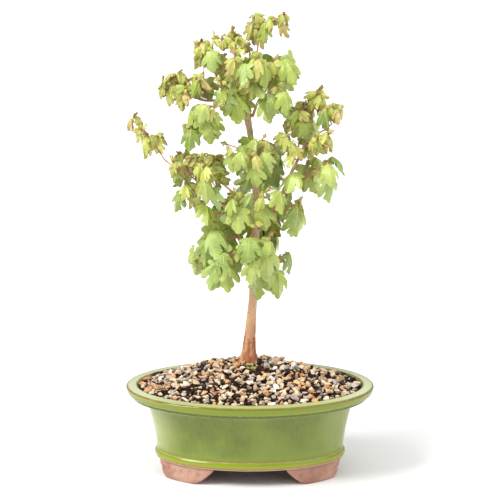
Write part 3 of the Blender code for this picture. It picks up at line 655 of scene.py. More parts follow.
def gravelTree():
    tree = bpy.data.node_groups.new("gravel", "GeometryNodeTree")
    nodes = Nodes(tree)
    inputs = {
        "Geometry": "Geometry", "Stones": "Collection", "Stone": "Material", "Spacing": "Float",
        "Small": "Float", "Large": "Float", "Lift": "Float", "From Share": "Float", "To Share": "Float",
        "Shapes": "Int", "Clear Of": "Vector", "Clear Radius": "Float", "Seed": "Int",
    }
    for label, kind in inputs.items():
        tree.interface.new_socket(label, in_out="INPUT", socket_type="NodeSocket" + kind)
    tree.interface.new_socket("Geometry", in_out="OUTPUT", socket_type="NodeSocketGeometry")
    start = tree.nodes.new("NodeGroupInput").outputs

    # A random number for each point, drawn again for each salt
    def drawn(low, high, salt, kind="FLOAT", first=2, output=1):
        values = {first: low, first + 1: high, 8: nodes.reckon("ADD", start["Seed"], salt)}
        return nodes.put("FunctionNodeRandomValue", {"data_type": kind}, values).outputs[output]

    strewn = nodes.put(
        "GeometryNodeDistributePointsOnFaces", {"distribute_method": "POISSON"},
        Mesh=start["Geometry"], Distance_Min=start["Spacing"], Density_Max=200000.0, Seed=start["Seed"],
    )
    lot = drawn(0.0, 1.0, 1)
    others = nodes.larger(nodes.reckon("LESS_THAN", lot, start["From Share"]),
                          nodes.reckon("GREATER_THAN", lot, start["To Share"]))
    ends = {0: nodes.put("GeometryNodeInputPosition").outputs[0], 1: start["Clear Of"]}
    away = nodes.put("ShaderNodeVectorMath", {"operation": "DISTANCE"}, ends).outputs["Value"]
    others = nodes.larger(others, nodes.reckon("LESS_THAN", away, start["Clear Radius"]))
    kept = nodes.put("GeometryNodeDeleteGeometry", Geometry=strewn.outputs[0], Selection=others)
    size = drawn(start["Small"], start["Large"], 2)
    lift = nodes.put("ShaderNodeCombineXYZ", Z=nodes.times(size, start["Lift"])).outputs[0]
    raised = nodes.put("GeometryNodeSetPosition", Geometry=kept.outputs[0], Offset=lift)
    most = gravelSizes["tilt"]
    turns = {0: drawn(-most, most, 3), 1: drawn(-most, most, 4), 2: drawn(0.0, 2 * math.pi, 5)}
    tilt = nodes.put("ShaderNodeCombineXYZ", values=turns).outputs[0]
    shapes = nodes.put("GeometryNodeCollectionInfo", Collection=start["Stones"],
                       Separate_Children=True, Reset_Children=True)
    laid = nodes.put(
        "GeometryNodeInstanceOnPoints", Points=raised.outputs[0], Instance=shapes.outputs[0],
        Pick_Instance=True, Instance_Index=drawn(0, start["Shapes"], 6, "INT", 4, 2),
        Rotation=tilt, Scale=size,
    )
    real = nodes.put("GeometryNodeRealizeInstances", Geometry=laid.outputs[0]).outputs[0]
    coloured = nodes.put("GeometryNodeSetMaterial", Geometry=real, Material=start["Stone"])
    nodes.feed(tree.nodes.new("NodeGroupOutput").inputs[0], coloured.outputs[0])
    return tree


def strew(ground, tree, values):
    growth = ground.modifiers.new("gravel", "NODES")
    growth.node_group = tree
    sockets = {item.name: item.identifier for item in tree.interface.items_tree if item.in_out == "INPUT"}
    for label, value in values.items():
        growth[sockets[label]] = value
    return skinOf(evaluated(ground))


def makeGravel():
    shapes = bpy.data.collections.new("stoneShapes")
    for number in range(gravelSizes["shapes"]):
        shapes.objects.link(makeStone(number))
    tree = gravelTree()
    sides, steps = gravelSizes["ground"]
    rings = [bedRing(blend(gravelSizes["edge"], bedSizes["reach"], share), sides) for share in shares(steps)]
    points, faces = loft(rings)
    ground = meshPiece("gravelGround", (points, faces[1:-1]), None)
    low = 0.0
    for name, (share, light, dark, shy) in gravelColours.items():
        material = plainMaterial("stone" + name, stoneLook, (light, dark, dark))
        skins = []
        for size in gravelSizes["grades"].values():
            skins.append(strew(ground, tree, {
                "Stones": shapes, "Stone": material, "Spacing": size["spacing"] * mm,
                "Small": size["small"] * mm, "Large": size["large"] * mm, "Lift": size["lift"] * 0.5,
                "From Share": low, "To Share": low + share * (size["kept"] if shy else 1),
                "Shapes": gravelSizes["shapes"] - 1, "Clear Of": gravelSizes["barePatch"],
                "Clear Radius": gravelSizes["bareRadius"] * mm if shy else 0.0, "Seed": size["seed"],
            }))
        low += share
        stones = meshPiece(f"gravel{name}", gather(skins), material, smooth=False)
        dress(stones, "gravel_bed", "soil")
        print("gravel", name, len(stones.data.polygons), "faces")
    for helper in [ground, *shapes.objects]:
        bpy.data.objects.remove(helper)


makeBed()
makeGravel()
print("bed and gravel made")


# The wood. The trunk's middle line and its radius there, from the earth up, in millimetres
trunkLine = (
    (-1.5, 34, 105.8, 11), (-1.2, 34, 110, 9.4), (-0.8, 33.8, 119, 7.4), (-0.2, 33.4, 133, 6.1),
    (1, 32.6, 150, 5.2), (3, 31, 175, 4.4), (4, 30, 195, 4.6), (5, 28.8, 228, 4), (6, 26.8, 265, 3.7),
    (5.4, 24.6, 300, 3.3), (3, 23, 328, 2.9), (0, 21.4, 352, 3), (-3.6, 20.2, 371, 4), (-4.6, 20, 380, 5),
    (-4.8, 20, 383, 4.4),
)
# Each limb: its host, where it leaves it (0 is the host's foot, 1 its tip), the points it passes,
# in millimetres, and its radius at both ends
limbLines = {
    "leader": ("trunk", 1, ((-1.5, 18, 396), (0.5, 16, 405), (0, 14, 420), (0, 12, 433)), 2.6, 1.3),
    "bough_low_left": (
        "trunk", 0.37, ((-6, 23, 228), (-11, 19, 242), (-19, 13, 263), (-30, 5, 286), (-53, 2, 310)),
        2.2, 1.2,
    ),
    "bough_far_left": ("bough_low_left", 1, ((-68, 2, 317), (-83, 4, 325), (-90, 6, 334)), 1, 0.7),
    "bough_right": (
        "trunk", 0.53, ((18, 22, 267), (27, 17, 278), (39, 12, 307), (48, 9, 326), (56, 7, 346)), 2.2, 1.3,
    ),
    "bough_right_out": ("bough_right", 0.97, ((64, 4, 352), (73, 2, 357), (82, 0, 365)), 1, 0.7),
    "bough_right_up": ("bough_right", 1, ((60, 8, 360), (62, 8, 375)), 1, 0.7),
    "bough_crown_left": (
        "trunk", 0.965, ((-18, 15, 384), (-30, 9, 387), (-43, 5, 387), (-56, 4, 391)), 1.8, 1,
    ),
    "bough_upper_left": ("bough_crown_left", 0.42, ((-27, 10, 399), (-34, 10, 412), (-40, 11, 421)), 1, 0.7),
    "bough_upper_right": ("trunk", 0.95, ((8, 17, 384), (13, 13, 392), (20, 8, 405), (25, 5, 418)), 1.6, 0.9),
    "bough_second": ("leader", 0.3, ((4.5, 14, 417), (7, 12, 433), (8, 11, 444)), 1.2, 0.8),
    "bough_back_low": ("trunk", 0.39, ((6, 42, 222), (2, 54, 234), (-8, 64, 246)), 1.7, 1),
    "bough_back_mid": ("trunk", 0.55, ((-4, 38, 272), (-20, 50, 286), (-38, 56, 300)), 1.7, 1),
    "bough_back_high": ("trunk", 0.9, ((0, 34, 372), (2, 46, 384), (6, 54, 398)), 1.5, 0.9),
}
limbPoints = 6  # along a limb with three stops; each further stop adds one
leaderShift = 2.4 * mm  # the leader stands to the right of the old cut at the top of the trunk
barkSizes = {
    "trunkSides": 56,
    "limbSides": 18,
    "step": 0.9,  # mm between rings
    "rootLobes": 5,
    "rootLobeDepth": 0.13,
    "rootReach": 34,  # mm
    "furrow": 0.16,  # mm, as the two sizes that follow
    "furrowSize": 1.6,
    "grainSize": 0.9,
    "furrowStretch": 0.22,
    "limbFurrow": 0.55,  # how deep the furrows of the limbs are, of the trunk's
    "lenticels": 260,
    "lenticelHeight": 0.3,
    "lenticelSize": (0.7, 0.45),
    "scarWidth": 1.6,
    "scarTilt": 1.2,
    "scars": (  # height and thickness, in millimetres
        (128, 0.25), (152, 0.3), (196, 0.75), (203, 0.5), (232, 0.6), (268, 0.6), (300, 0.4), (352, 0.5),
        (376, 0.8), (381, 1),
    ),
    "cut": ((0.93, 0.35), (0.8, 0.5), (0.55, 0.2), (0.3, -0.1), (0.1, -0.15)),  # width and rise of its rings
    "budScarSpacing": 13,
    "budScar": (0.22, 0.9),  # the share that a limb thickens at a bud scar, and on how many mm
    "collar": (0.5, 3.5),  # and where it leaves its host
}


# A smooth curve through the given points, which may be rows with a radius as their last number
def smoothPath(points, count):
    ends = [points[0] * 2 - points[1], *points, points[-1] * 2 - points[-2]]
    path = []
    for share in shares(count - 1):
        place = share * (len(points) - 1)
        stretch = min(int(place), len(points) - 2)
        t = place - stretch
        a, b, c, d = ends[stretch:stretch + 4]
        bend, twist = a * 2 - b * 5 + c * 4 - d, b * 3 - a - c * 3 + d
        path.append((b * 2 + (c - a) * t + bend * t**2 + twist * t**3) / 2)
    return path


def spansOf(path):
    return [(after - before).length for before, after in zip(path, path[1:])]


# The middle, direction and radius of a limb at a share of its length
def along(limb, share):
    path, radii = limb
    spans = spansOf(path)
    left = share * sum(spans)
    number = 0
    while left > spans[number] and number < len(spans) - 1:
        left -= spans[number]
        number += 1
    part = left / spans[number]
    axis = (path[number + 1] - path[number]).normalized()
    return path[number].lerp(path[number + 1], part), axis, blend(radii[number], radii[number + 1], part)


# Where a shoot starts, just clear of its host, and which way it sets out
def leave(limb, share, target):
    middle, axis, radius = along(limb, share)
    if share == 1:
        return middle + axis * seam, axis
    side = squareTo(axis, target - middle)
    return middle + side * (radius + seam), side


def taper(thick, thin, count):
    return [blend(thick, thin, share) for share in shares(count - 1)]


def limbPath(name):
    host, share, stops, thick, thin = limbLines[name]
    stops = [Vector(stop) * mm for stop in stops]
    start, way = leave(limbs[host], share, stops[0])
    if name == "leader":
        start.x += leaderShift
    count = limbPoints + len(stops) - 3
    path = [start, *smoothPath([start + way * 1.4 * thick * mm, *stops], count - 1)]
    return path, taper(thick * mm, thin * mm, count)


def barkFurrows(point):
    size = barkSizes
    stretched = Vector((point.x, point.y, point.z * size["furrowStretch"])) / (size["furrowSize"] * mm)
    rough = noise.fractal(stretched, 0.8, 2.1, 4) + 0.5 * noise.noise(point / (size["grainSize"] * mm))
    return rough * size["furrow"] * mm


def bump(away, width):
    return math.exp(-(away / width) ** 2)


def barkSkin(rows, sides, swell, tip):
    rings = tube([row.xyz for row in rows], [row.w for row in rows], sides, swell)
    return loft(rings + tip(rings[-1], rows[-1].xyz))


def makeTrunk(bark):
    size = barkSizes
    foot, top = trunkLine[0][2], trunkLine[-1][2]
    rows = smoothPath([Vector(row) for row in trunkLine], int((top - foot) / size["step"]))
    chance = random.Random("lenticels")
    pores = []
    for _ in range(size["lenticels"]):
        pores.append((chance.uniform(112, 378), chance.uniform(0, 2 * math.pi), chance.uniform(0.4, 1)))

    poreWidth, poreHeight = size["lenticelSize"]

    def swell(point, turn, number, radius):
        z = point.z / mm
        near = max(0, 1 - (z - foot) / size["rootReach"])
        lobes = size["rootLobeDepth"] * near**1.6 * math.cos(size["rootLobes"] * turn + 0.6)
        lobes += 0.1 * near**2 * noise.noise(Vector((math.cos(turn), math.sin(turn), z / 22)) * 1.7)
        reach = 0
        for place, amount in size["scars"]:
            tilt = size["scarTilt"] * math.cos(turn + place)
            reach += amount * bump(z - place - tilt, size["scarWidth"]) * (0.7 + 0.3 * math.cos(2 * turn))
        for place, angle, amount in pores:
            if abs(z - place) < 1.4:
                wide = ((turn - angle + math.pi) % (2 * math.pi) - math.pi) * radius / mm
                reach += amount * size["lenticelHeight"] * bump(wide, poreWidth) * bump(z - place, poreHeight)
        return radius * (1 + lobes) + barkFurrows(point) * (1 + 2 * near) + reach * mm

    def cutTop(ring, end):
        return [[end.lerp(point, share) + skyward * rise * mm for point in ring]
                for share, rise in size["cut"]]

    rows = [row * mm for row in rows]
    skin = barkSkin(rows, size["trunkSides"], swell, cutTop)
    dress(meshPiece("trunkWood", skin, bark, outwards=True), "trunk_bark", "trunk")


def limbSkin(name):
    host, share = limbLines[name][:2]
    path, radii = limbs[name]
    size = barkSizes
    # Its first ring lies in its host: the share of the way from the limb's foot to the host's middle
    sunk = 0 if name == "leader" else 0.7 if share == 1 else 0.9
    start = along(limbs[host], share)[0].lerp(path[0], 1 - sunk)
    rows = [Vector((*point, radius)) for point, radius in zip([start, *path], [radii[0], *radii])]
    length = sum(spansOf(path)) / mm
    count = int(length / size["step"])
    shift = random.Random(name).uniform(0, size["budScarSpacing"])

    def swell(point, turn, number, radius):
        run = number * length / count
        scar = ((run + shift) % size["budScarSpacing"]) - size["budScarSpacing"] / 2
        share, reach = size["budScar"]
        thicker = 1 + share * bump(scar, reach)
        if host == "trunk":
            share, reach = size["collar"]
            thicker += share * bump(run, reach)
        return radius * thicker + barkFurrows(point) * size["limbFurrow"]

    def tip(ring, end):
        return [[end.lerp(point, 0.6) + (end - path[-2]).normalized() * 0.3 * mm for point in ring]]

    return barkSkin(smoothPath(rows, count), size["limbSides"], swell, tip)


trunkLook = {
    "tan": tone(232, 182, 142),
    "rust": tone(168, 102, 60),
    "grey": tone(230, 190, 150),
    "spot": tone(84, 60, 40),
    "pale": tone(218, 198, 170),
    "rustTo": (152, 126),  # mm: the flaky rust-brown bark at the foot ends between these heights
    "greyFrom": (182, 202),  # and the grey-brown, speckled bark starts between these
    "wander": (90, 3, 0, 1),  # how those edges wander, and how far
    "wanderHeight": 16,
    "roughness": 0.78,
    "drawnOut": 0.35,
    "flakes": (150, 4, 0.42, 0.56), "streaks": (420, 3, 0.35, 0.7), "flecks": (620, 0.3, 0.4),
    "spots": (560, 0.3, 0.3), "fineSpots": (900, 0.32, 0.4),
    "relief": (0.5, 0.3),
}
limbLook = {
    "colours": (tone(184, 132, 96), tone(212, 170, 130), tone(122, 78, 56)),  # brown, tan and the pores
    "roughness": 0.6,
    "clouds": (130, 4, 0.35, 0.65), "dots": (700, 0.3, 0.3), "dotShare": 0.7,
    "grain": (600, 4, 0.2, 0.8), "relief": (0.4, 0.2),
}


def makeTrunkBark():
    look = trunkLook
    bark = Look("trunkBark", Roughness=look["roughness"])
    tall = bark.drawnOut(look["drawnOut"])
    height = bark.put("ShaderNodeSeparateXYZ", Vector=bark.place).outputs[2]
    wander = bark.times(bark.clouds(*look["wander"]), look["wanderHeight"] * mm)
    level = bark.reckon("SUBTRACT", height, wander)
    upper = bark.climb(level, *look["greyFrom"])
    foot = bark.climb(level, *look["rustTo"])
    flakes = bark.clouds(*look["flakes"], tall)
    streaks = bark.clouds(*look["streaks"], tall)
    spots = bark.larger(bark.dots(*look["spots"], tall), bark.dots(*look["fineSpots"]))
    colour = bark.layered(
        look["tan"],
        (bark.times(streaks, 0.4), look["pale"]),
        (bark.times(foot, bark.span(flakes, 0, 1, 0.45, 1)), look["rust"]),
        (bark.times(bark.dots(*look["flecks"], tall), bark.times(foot, 0.6)), look["tan"]),
        (bark.times(upper, 0.85), bark.mix(streaks, look["grey"], look["pale"])),
        (bark.times(spots, bark.span(upper, 0, 1, 0.5, 0.75)), look["spot"]),
    )
    return bark.finish(colour, bark.reckon("ADD", flakes, streaks), *look["relief"])


limbs = {"trunk": ([Vector(row[:3]) * mm for row in trunkLine], [row[3] * mm for row in trunkLine])}
for limbName in limbLines:
    limbs[limbName] = limbPath(limbName)
makeTrunk(makeTrunkBark())
youngBark = plainMaterial("youngBark", limbLook)
boughNames = [limbName for limbName in limbs if limbName.startswith("bough")]
leader = meshPiece("leaderWood", limbSkin("leader"), youngBark, outwards=True)
boughs = meshPiece("boughWood", gather([limbSkin(name) for name in boughNames]), youngBark, outwards=True)
dress(leader, "trunk_bark", "leader")
dress(boughs, "young_bark", *boughNames)
print("trunk and boughs made")


# The foliage grows by the same rule as the solids: each mass has its host and where its stem leaves
# it, the tips that its shoots run to, in millimetres, its pairs of leaves, the length of its first
# and last leaf, and its seed
masses = {
    "foliage_low_left": (
        "bough_low_left", 0.36, ((-48, 2, 228), (-36, -6, 266), (-19, -20, 236)), 2, (34, 28), 12,
    ),
    "foliage_low_front": ("trunk", 0.44, ((-5, -28, 238), (17, -18, 254), (4, -24, 268)), 2, (33, 27), 32),
    "foliage_low_right": ("trunk", 0.32, ((29, 6, 225),), 2, (28, 26), 36),
    "foliage_mid_front": ("trunk", 0.62, ((14, -24, 300), (-14, -8, 294)), 2, (33, 26), 43),
    "foliage_right_low": ("bough_right", 0.25, ((48, 0, 284), (36, 18, 302)), 2, (30, 22), 23),
    "foliage_right_mid": ("bough_right", 0.55, ((76, -8, 328), (60, 14, 334)), 2, (30, 26), 44),
    "foliage_right_wing": ("bough_right", 0.8, ((37, -8, 356),), 3, (26, 20), 29),
    "foliage_right_tip": ("bough_right_up", 1, ((88, 4, 378), (67, 10, 394)), 2, (20, 16), 16),
    "foliage_right_inner": ("bough_right_up", 0.4, ((46, 4, 376), (56, 26, 382)), 2, (24, 18), 8),
    "foliage_right_young": ("bough_right_out", 0.4, ((67, -14, 354), (77, -9, 356)), 2, (20, 16), 24),
    "foliage_trunk_front": ("trunk", 0.76, ((12, -10, 350), (-22, -12, 346), (0, -28, 338)), 2, (28, 22), 13),
    "foliage_young_outer": ("bough_low_left", 0.97, ((-76, -12, 328), (-66, 16, 330)), 2, (20, 17), 29),
    "foliage_young_inner": ("bough_low_left", 0.72, ((-52, -12, 328), (-36, 10, 328)), 2, (20, 17), 6),
    "foliage_left_hanging": ("bough_low_left", 0.6, ((-74, -8, 318), (-44, -20, 326)), 2, (23, 20), 21),
    "foliage_far_left": (
        "bough_far_left", 1, ((-115, 8, 369), (-108, 0, 359), (-94, 4, 351)), 1, (18, 14), 59,
    ),
    "foliage_crown_left_low": (
        "bough_crown_left", 0.6, ((-46, -4, 379), (-34, -24, 386), (-62, -8, 365)), 2, (32, 27), 17,
    ),
    "foliage_crown_left_mid": ("bough_crown_left", 0.75, ((-52, -8, 410), (-46, 14, 420)), 2, (23, 18), 8),
    "foliage_crown_left_outer": (
        "bough_crown_left", 1, ((-86, 6, 404), (-74, 16, 410), (-62, -8, 402)), 2, (20, 16), 5,
    ),
    "foliage_crown_left_inner": ("bough_crown_left", 0.3, ((-28, -14, 410), (-15, -4, 390)), 2, (26, 21), 22),
    "foliage_upper_left": ("bough_upper_left", 1, ((-48, 12, 444), (-29, 6, 430)), 3, (20, 15), 21),
    "foliage_leader_left": ("leader", 0.5, ((-14, -10, 434),), 3, (24, 18), 27),
    "foliage_leader_tip": ("leader", 1, ((-18, 14, 453), (-34, 8, 449)), 2, (18, 13), 40),
    "foliage_top": ("bough_second", 1, ((5, 10, 471), (33, 6, 472)), 2, (19, 15), 7),
    "foliage_upper_right": ("bough_upper_right", 1, ((23, -4, 428), (34, 18, 420)), 2, (31, 24), 1),
    "foliage_upper_front": ("leader", 0.4, ((8, -22, 434),), 3, (26, 22), 7),
    "foliage_fork_right": ("bough_upper_right", 0.5, ((26, -18, 406),), 2, (31, 26), 20),
    "foliage_back_low_left": ("bough_back_low", 1, ((-32, 68, 248), (-14, 74, 262)), 2, (33, 27), 18),
    "foliage_back_low_right": ("bough_back_low", 0.5, ((8, 66, 254), (20, 46, 258)), 2, (33, 27), 42),
    "foliage_back_mid": ("trunk", 0.7, ((6, 66, 320), (24, 52, 326)), 2, (31, 24), 21),
    "foliage_back_left": ("bough_back_mid", 1, ((-48, 64, 320),), 3, (27, 20), 13),
    "foliage_back_upper": ("bough_back_high", 1, ((12, 62, 420), (-22, 62, 412)), 2, (27, 20), 18),
    "foliage_back_right": ("bough_right", 0.85, ((54, 46, 368),), 2, (27, 20), 8),
}
rule = {
    "youngLeaf": 20.5 * mm,  # a leaf up to this long is folded
    "matureLeaf": 28 * mm,
    "twigRadii": (1 * mm, 0.75 * mm),  # as thick as the solids' twigs
    "stalkRadii": (0.3 * mm, 0.42 * mm),
    "stalkLift": 0.25,
    "stalk": {"young": 0.3, "mature": 0.5},  # of the leaf's length
    "stalkSpread": (0.7, 1.2),
    "fold": {"young": (30, 55), "mature": (14, 34)},  # degrees
    "hang": (0.72, 0.95),
    "curl": (0.05, 0.22),
    "turn": 26,  # degrees that leaves turn away from facing outwards
    "forkShare": 0.2,
    "bareShare": 0.3,  # of a shoot, up to its first pair
    "lastPair": 0.985,
    "tries": 14,
    "reach": (125 * mm, 84 * mm, 478 * mm),  # no leaf goes further from the middle of the pot's foot
    "axis": Vector((0, 22 * mm, 0)),  # leaves face away from it
    "middle": 0.36,  # where a solid leaf is thickest, of its length
}
outlines = {  # of the solids' leaves
    "full": ((0.02, 0.35), (0.27, 0.29), (0.58, 0.48), (0.62, 0.25)),
    "mature": ((0.02, 0.33), (0.56, 0.46), (0.63, 0.22)),
    "young": ((0.48, 0.31), (0.66, 0.17)),
}
# Smaller leaves between the pairs, on the finer twigs that the solids leave out
infill = {
    "bare": ("foliage_far_left",),  # masses that have none
    "young": {"shares": (0.5, 0.72, 0.92), "size": 0.85},  # size: of the mass's last leaf
    "mature": {"shares": (0.97,), "size": 0.5},
    "longestYoung": 26,  # mm, of a mass's first leaf
    "tries": 7,
}


# The points that a shoot passes as it bends over to its tip
def shootPath(start, way, tip, count=4):
    reach = (tip - start).length
    end = (tip - start).normalized() - skyward * 0.15
    a, b, c, d = start, start + way * reach * 0.3, tip - end * reach * 0.3, tip
    return [a * (1 - t) ** 3 + b * 3 * t * (1 - t) ** 2 + c * 3 * t**2 * (1 - t) + d * t**3
            for t in shares(count - 1)]


def massShoots(name):
    host, share, tips = masses[name][:3]
    tips = [Vector(tip) * mm for tip in tips]
    start, way = leave(limbs[host], share, tips[0])
    shoots = [(way, shootPath(start, way, tips[0]))]
    low, high = shoots[0][1][1:3]
    for tip in tips[1:]:
        fork = low.lerp(high, rule["forkShare"])
        way = ((high - low).normalized() + (tip - fork).normalized()).normalized()
        shoots.append((way, shootPath(fork, way, tip)))
    return shoots


# The middle and reach of a mass: the plane where two such balls meet divides their rooms
def massRoom(name, shoots):
    leaf = masses[name][4][0] * mm
    count = len(shoots)
    middle = sum((path[1].lerp(path[2], 0.5) + path[-1] for _, path in shoots), Vector()) / (2 * count)
    reach = sum((path[-1] - middle).length for _, path in shoots) / count + 0.5 * leaf
    return middle - skyward * 0.5 * leaf, reach


def mirrored(points):
    return [(u, -s) for u, s in points[::-1]]


def treeOf(skins):
    return BVHTree.FromPolygons(*gather(skins), epsilon=0)


def ageOf(length):
    return "young" if length <= rule["youngLeaf"] else "mature"


# One hanging leaf: where its stalk leaves the shoot, and how its blade lies
class Leaf:
    def __init__(self, node, sideways, shootAxis, length, loosen, chance):
        age = ageOf(length)
        stalk = length * rule["stalk"][age] * chance.uniform(*rule["stalkSpread"])
        outwards = sideways + shootAxis * chance.uniform(0.2, 0.7) + skyward * rule["stalkLift"]
        outwards.normalize()
        self.node = node + outwards * rule["stalkRadii"][0]
        self.length = length
        self.foot = self.node + outwards * stalk
        hang = chance.uniform(*rule["hang"]) - 0.15 * loosen
        scatter = Vector([chance.gauss(0, 0.12 + 0.1 * loosen) for _ in range(3)])
        away = node - rule["axis"]
        facing = Vector((away.x * 0.5, -abs(away.y) - 0.02 if away.y < 0.02 else away.y, 0)).normalized()
        turn = math.radians(chance.gauss(0, rule["turn"] + 14 * loosen))
        facing = turned(facing, skyward.cross(facing), turn) + skyward * 0.25 + sideways * 0.35
        self.lay(outwards * (1 - hang) * 1.6 - skyward * hang + scatter, facing)
        self.fold = math.radians(chance.uniform(*rule["fold"][age]))
        self.curl = chance.uniform(*rule["curl"])
        self.outline = outlines["full" if length > rule["matureLeaf"] else age]

    def lay(self, lengthways, facing):
        self.along = lengthways.normalized()
        self.up = squareTo(self.along, facing)
        self.across = self.along.cross(self.up)

    def place(self, lengthways, sideways):
        back = abs(sideways) * math.sin(self.fold) + self.curl * lengthways**2
        way = self.along * lengthways + self.across * sideways * math.cos(self.fold) - self.up * back
        return self.foot + way * self.length

    # The plain solid of this leaf, which says whether there is room for it
    def solid(self):
        rim = [self.place(*corner) for corner in [*self.outline, (1, 0), *mirrored(self.outline)]]
        swell = self.up * max(0.45 * mm, self.length / 80)
        middle = self.place(rule["middle"], 0)
        axis = (self.foot - self.node).normalized()
        bend = (axis + self.along).normalized()
        level = squareTo(bend, self.across)
        upright = bend.cross(level)
        if upright.dot(self.up) < 0:
            upright = -upright
        sides = [turned(level, upright, math.radians(turn)) for turn in (90, -30, 210)]
        root = [self.node + squareTo(axis, side) * rule["stalkRadii"][0] for side in sides]
        neck = [self.foot + side * rule["stalkRadii"][1] for side in sides]
        points = [*root, *neck, *rim, middle + swell, middle - swell]
        front, back = len(points) - 2, len(points) - 1
        first, last = 6, front - 1
        faces = [(2, 1, 0), (0, 1, 4, 3), (1, 2, 5, 4), (2, 0, 3, 5)]
        for corner in range(first, last):
            faces += [(corner, corner + 1, front), (corner + 1, corner, back)]
        faces += [(4, first, front), (3, 4, front), (5, 3, front), (last, 5, front)]
        faces += [(first, 4, back), (4, 5, back), (5, last, back)]
        return points, faces


# What takes up the room for leaves: the wood, the shoots and the leaves so far
class Site:
    def __init__(self):
        self.wood = treeOf([skinOf(frame["nodes"][name].data) for name in limbs])
        self.shoots = {name: massShoots(name) for name in masses}
        self.rooms = {name: massRoom(name, self.shoots[name]) for name in masses}
        twigs = {name: [solidTwig(shoot) for shoot in self.shoots[name]] for name in masses}
        self.own = {name: treeOf(twigs[name]) for name in masses}
        self.stems = {}
        for name in masses:
            self.stems[name] = treeOf([twig for other in masses if other != name for twig in twigs[other]])
        self.placed = []

    def inRoom(self, points, name):
        middle, reach = self.rooms[name]
        for point in points:
            if any(abs(level) > most for level, most in zip(point, rule["reach"])):
                return False
            own = (point - middle).length_squared - reach**2
            for other, (centre, size) in self.rooms.items():
                spare = 2 * seam * (centre - middle).length
                if other != name and own > (point - centre).length_squared - size**2 - spare:
                    return False
        return True

    # Whether there is room for a leaf, which then takes it
    def takes(self, leaf, name):
        points, faces = leaf.solid()
        if not self.inRoom(points[3:], name):
            return False
        ways = [leaf.place(lengthways, 0) for lengthways in (0.15, 0.6, 0.85)]
        for point in [*points[3:], *ways, leaf.node.lerp(leaf.foot, 0.5)]:
            if self.wood.find_nearest(point, 2 * seam)[0]:
                return False
        shape = treeOf([(points, faces)])
        if any(not set(faces[one]) & set(faces[other]) for one, other in shape.overlap(shape)):
            return False
        # The same without what the shoot swallows
        free = treeOf([(points, [side for side in faces if min(side) > 2])])
        if shape.overlap(self.wood) or shape.overlap(self.stems[name]) or free.overlap(self.own[name]):
            return False
        for other, middle, reach in self.placed:
            if (middle - points[-1]).length < reach + leaf.length and shape.overlap(other):
                return False
        self.placed.append((free, points[-1], leaf.length))
        return True

    # Two leaves at a share of a shoot's length: of each one's tries, the first with room stays
    def leavesAt(self, name, path, share, tries, label, draw):
        node, axis, _ = along((path, [0] * len(path)), share)
        level = axis.cross(skyward).normalized()
        upright = level.cross(axis)
        leaves = []
        for side in range(2):
            for attempt in range(tries):
                chance = random.Random(f"{label} {side} {attempt}")
                turn, length, loosen = draw(chance, side, attempt / tries)
                leaf = Leaf(node, turned(level, upright, turn), axis, length, loosen, chance)
                if self.takes(leaf, name):
                    leaves.append(leaf)
                    break
        return leaves


def solidTwig(shoot):
    way, path = shoot
    return loft(tube(path, taper(*rule["twigRadii"], len(path)), 3, axis=way))


# How far along a shoot its pairs of leaves stand
def pairShares(name):
    return [blend(rule["bareShare"], 1, share) for share in shares(masses[name][3])]


# Opposite pairs along every shoot, each pair a quarter turn on from the one before
def massLeaves(name, site):
    pairs, (longest, shortest), seed = masses[name][3:]
    leaves = []
    for number, (_, path) in enumerate(site.shoots[name]):
        for pair, share in enumerate(pairShares(name)):
            def draw(chance, side, loosen):
                turn = math.pi * (side + pair / 2) + chance.gauss(0.25, 0.3 + loosen)
                length = blend(longest, shortest, pair / pairs) * mm
                return turn, length * chance.uniform(0.88, 1.08) * (1 - 0.25 * loosen), loosen

            label = f"{seed} {number} {pair}"
            leaves += site.leavesAt(name, path, min(share, rule["lastPair"]), rule["tries"], label, draw)
    return leaves


def isYoung(name):
    return masses[name][4][0] <= infill["longestYoung"]


def fillIn(name, site):
    kind = infill["young" if isYoung(name) else "mature"]
    size = masses[name][4][1] * kind["size"] * mm
    leaves = []
    for number, (_, path) in enumerate([] if name in infill["bare"] else site.shoots[name]):
        for share in kind["shares"]:
            def draw(chance, side, _):
                turn = 2 * math.pi * (side / 2 + share) + chance.gauss(0, 0.6)
                return turn, size * chance.uniform(0.75, 1.15), chance.uniform(0.2, 1)

            label = f"{name} {number} {share}"
            leaves += site.leavesAt(name, path, share, infill["tries"], label, draw)
    return leaves


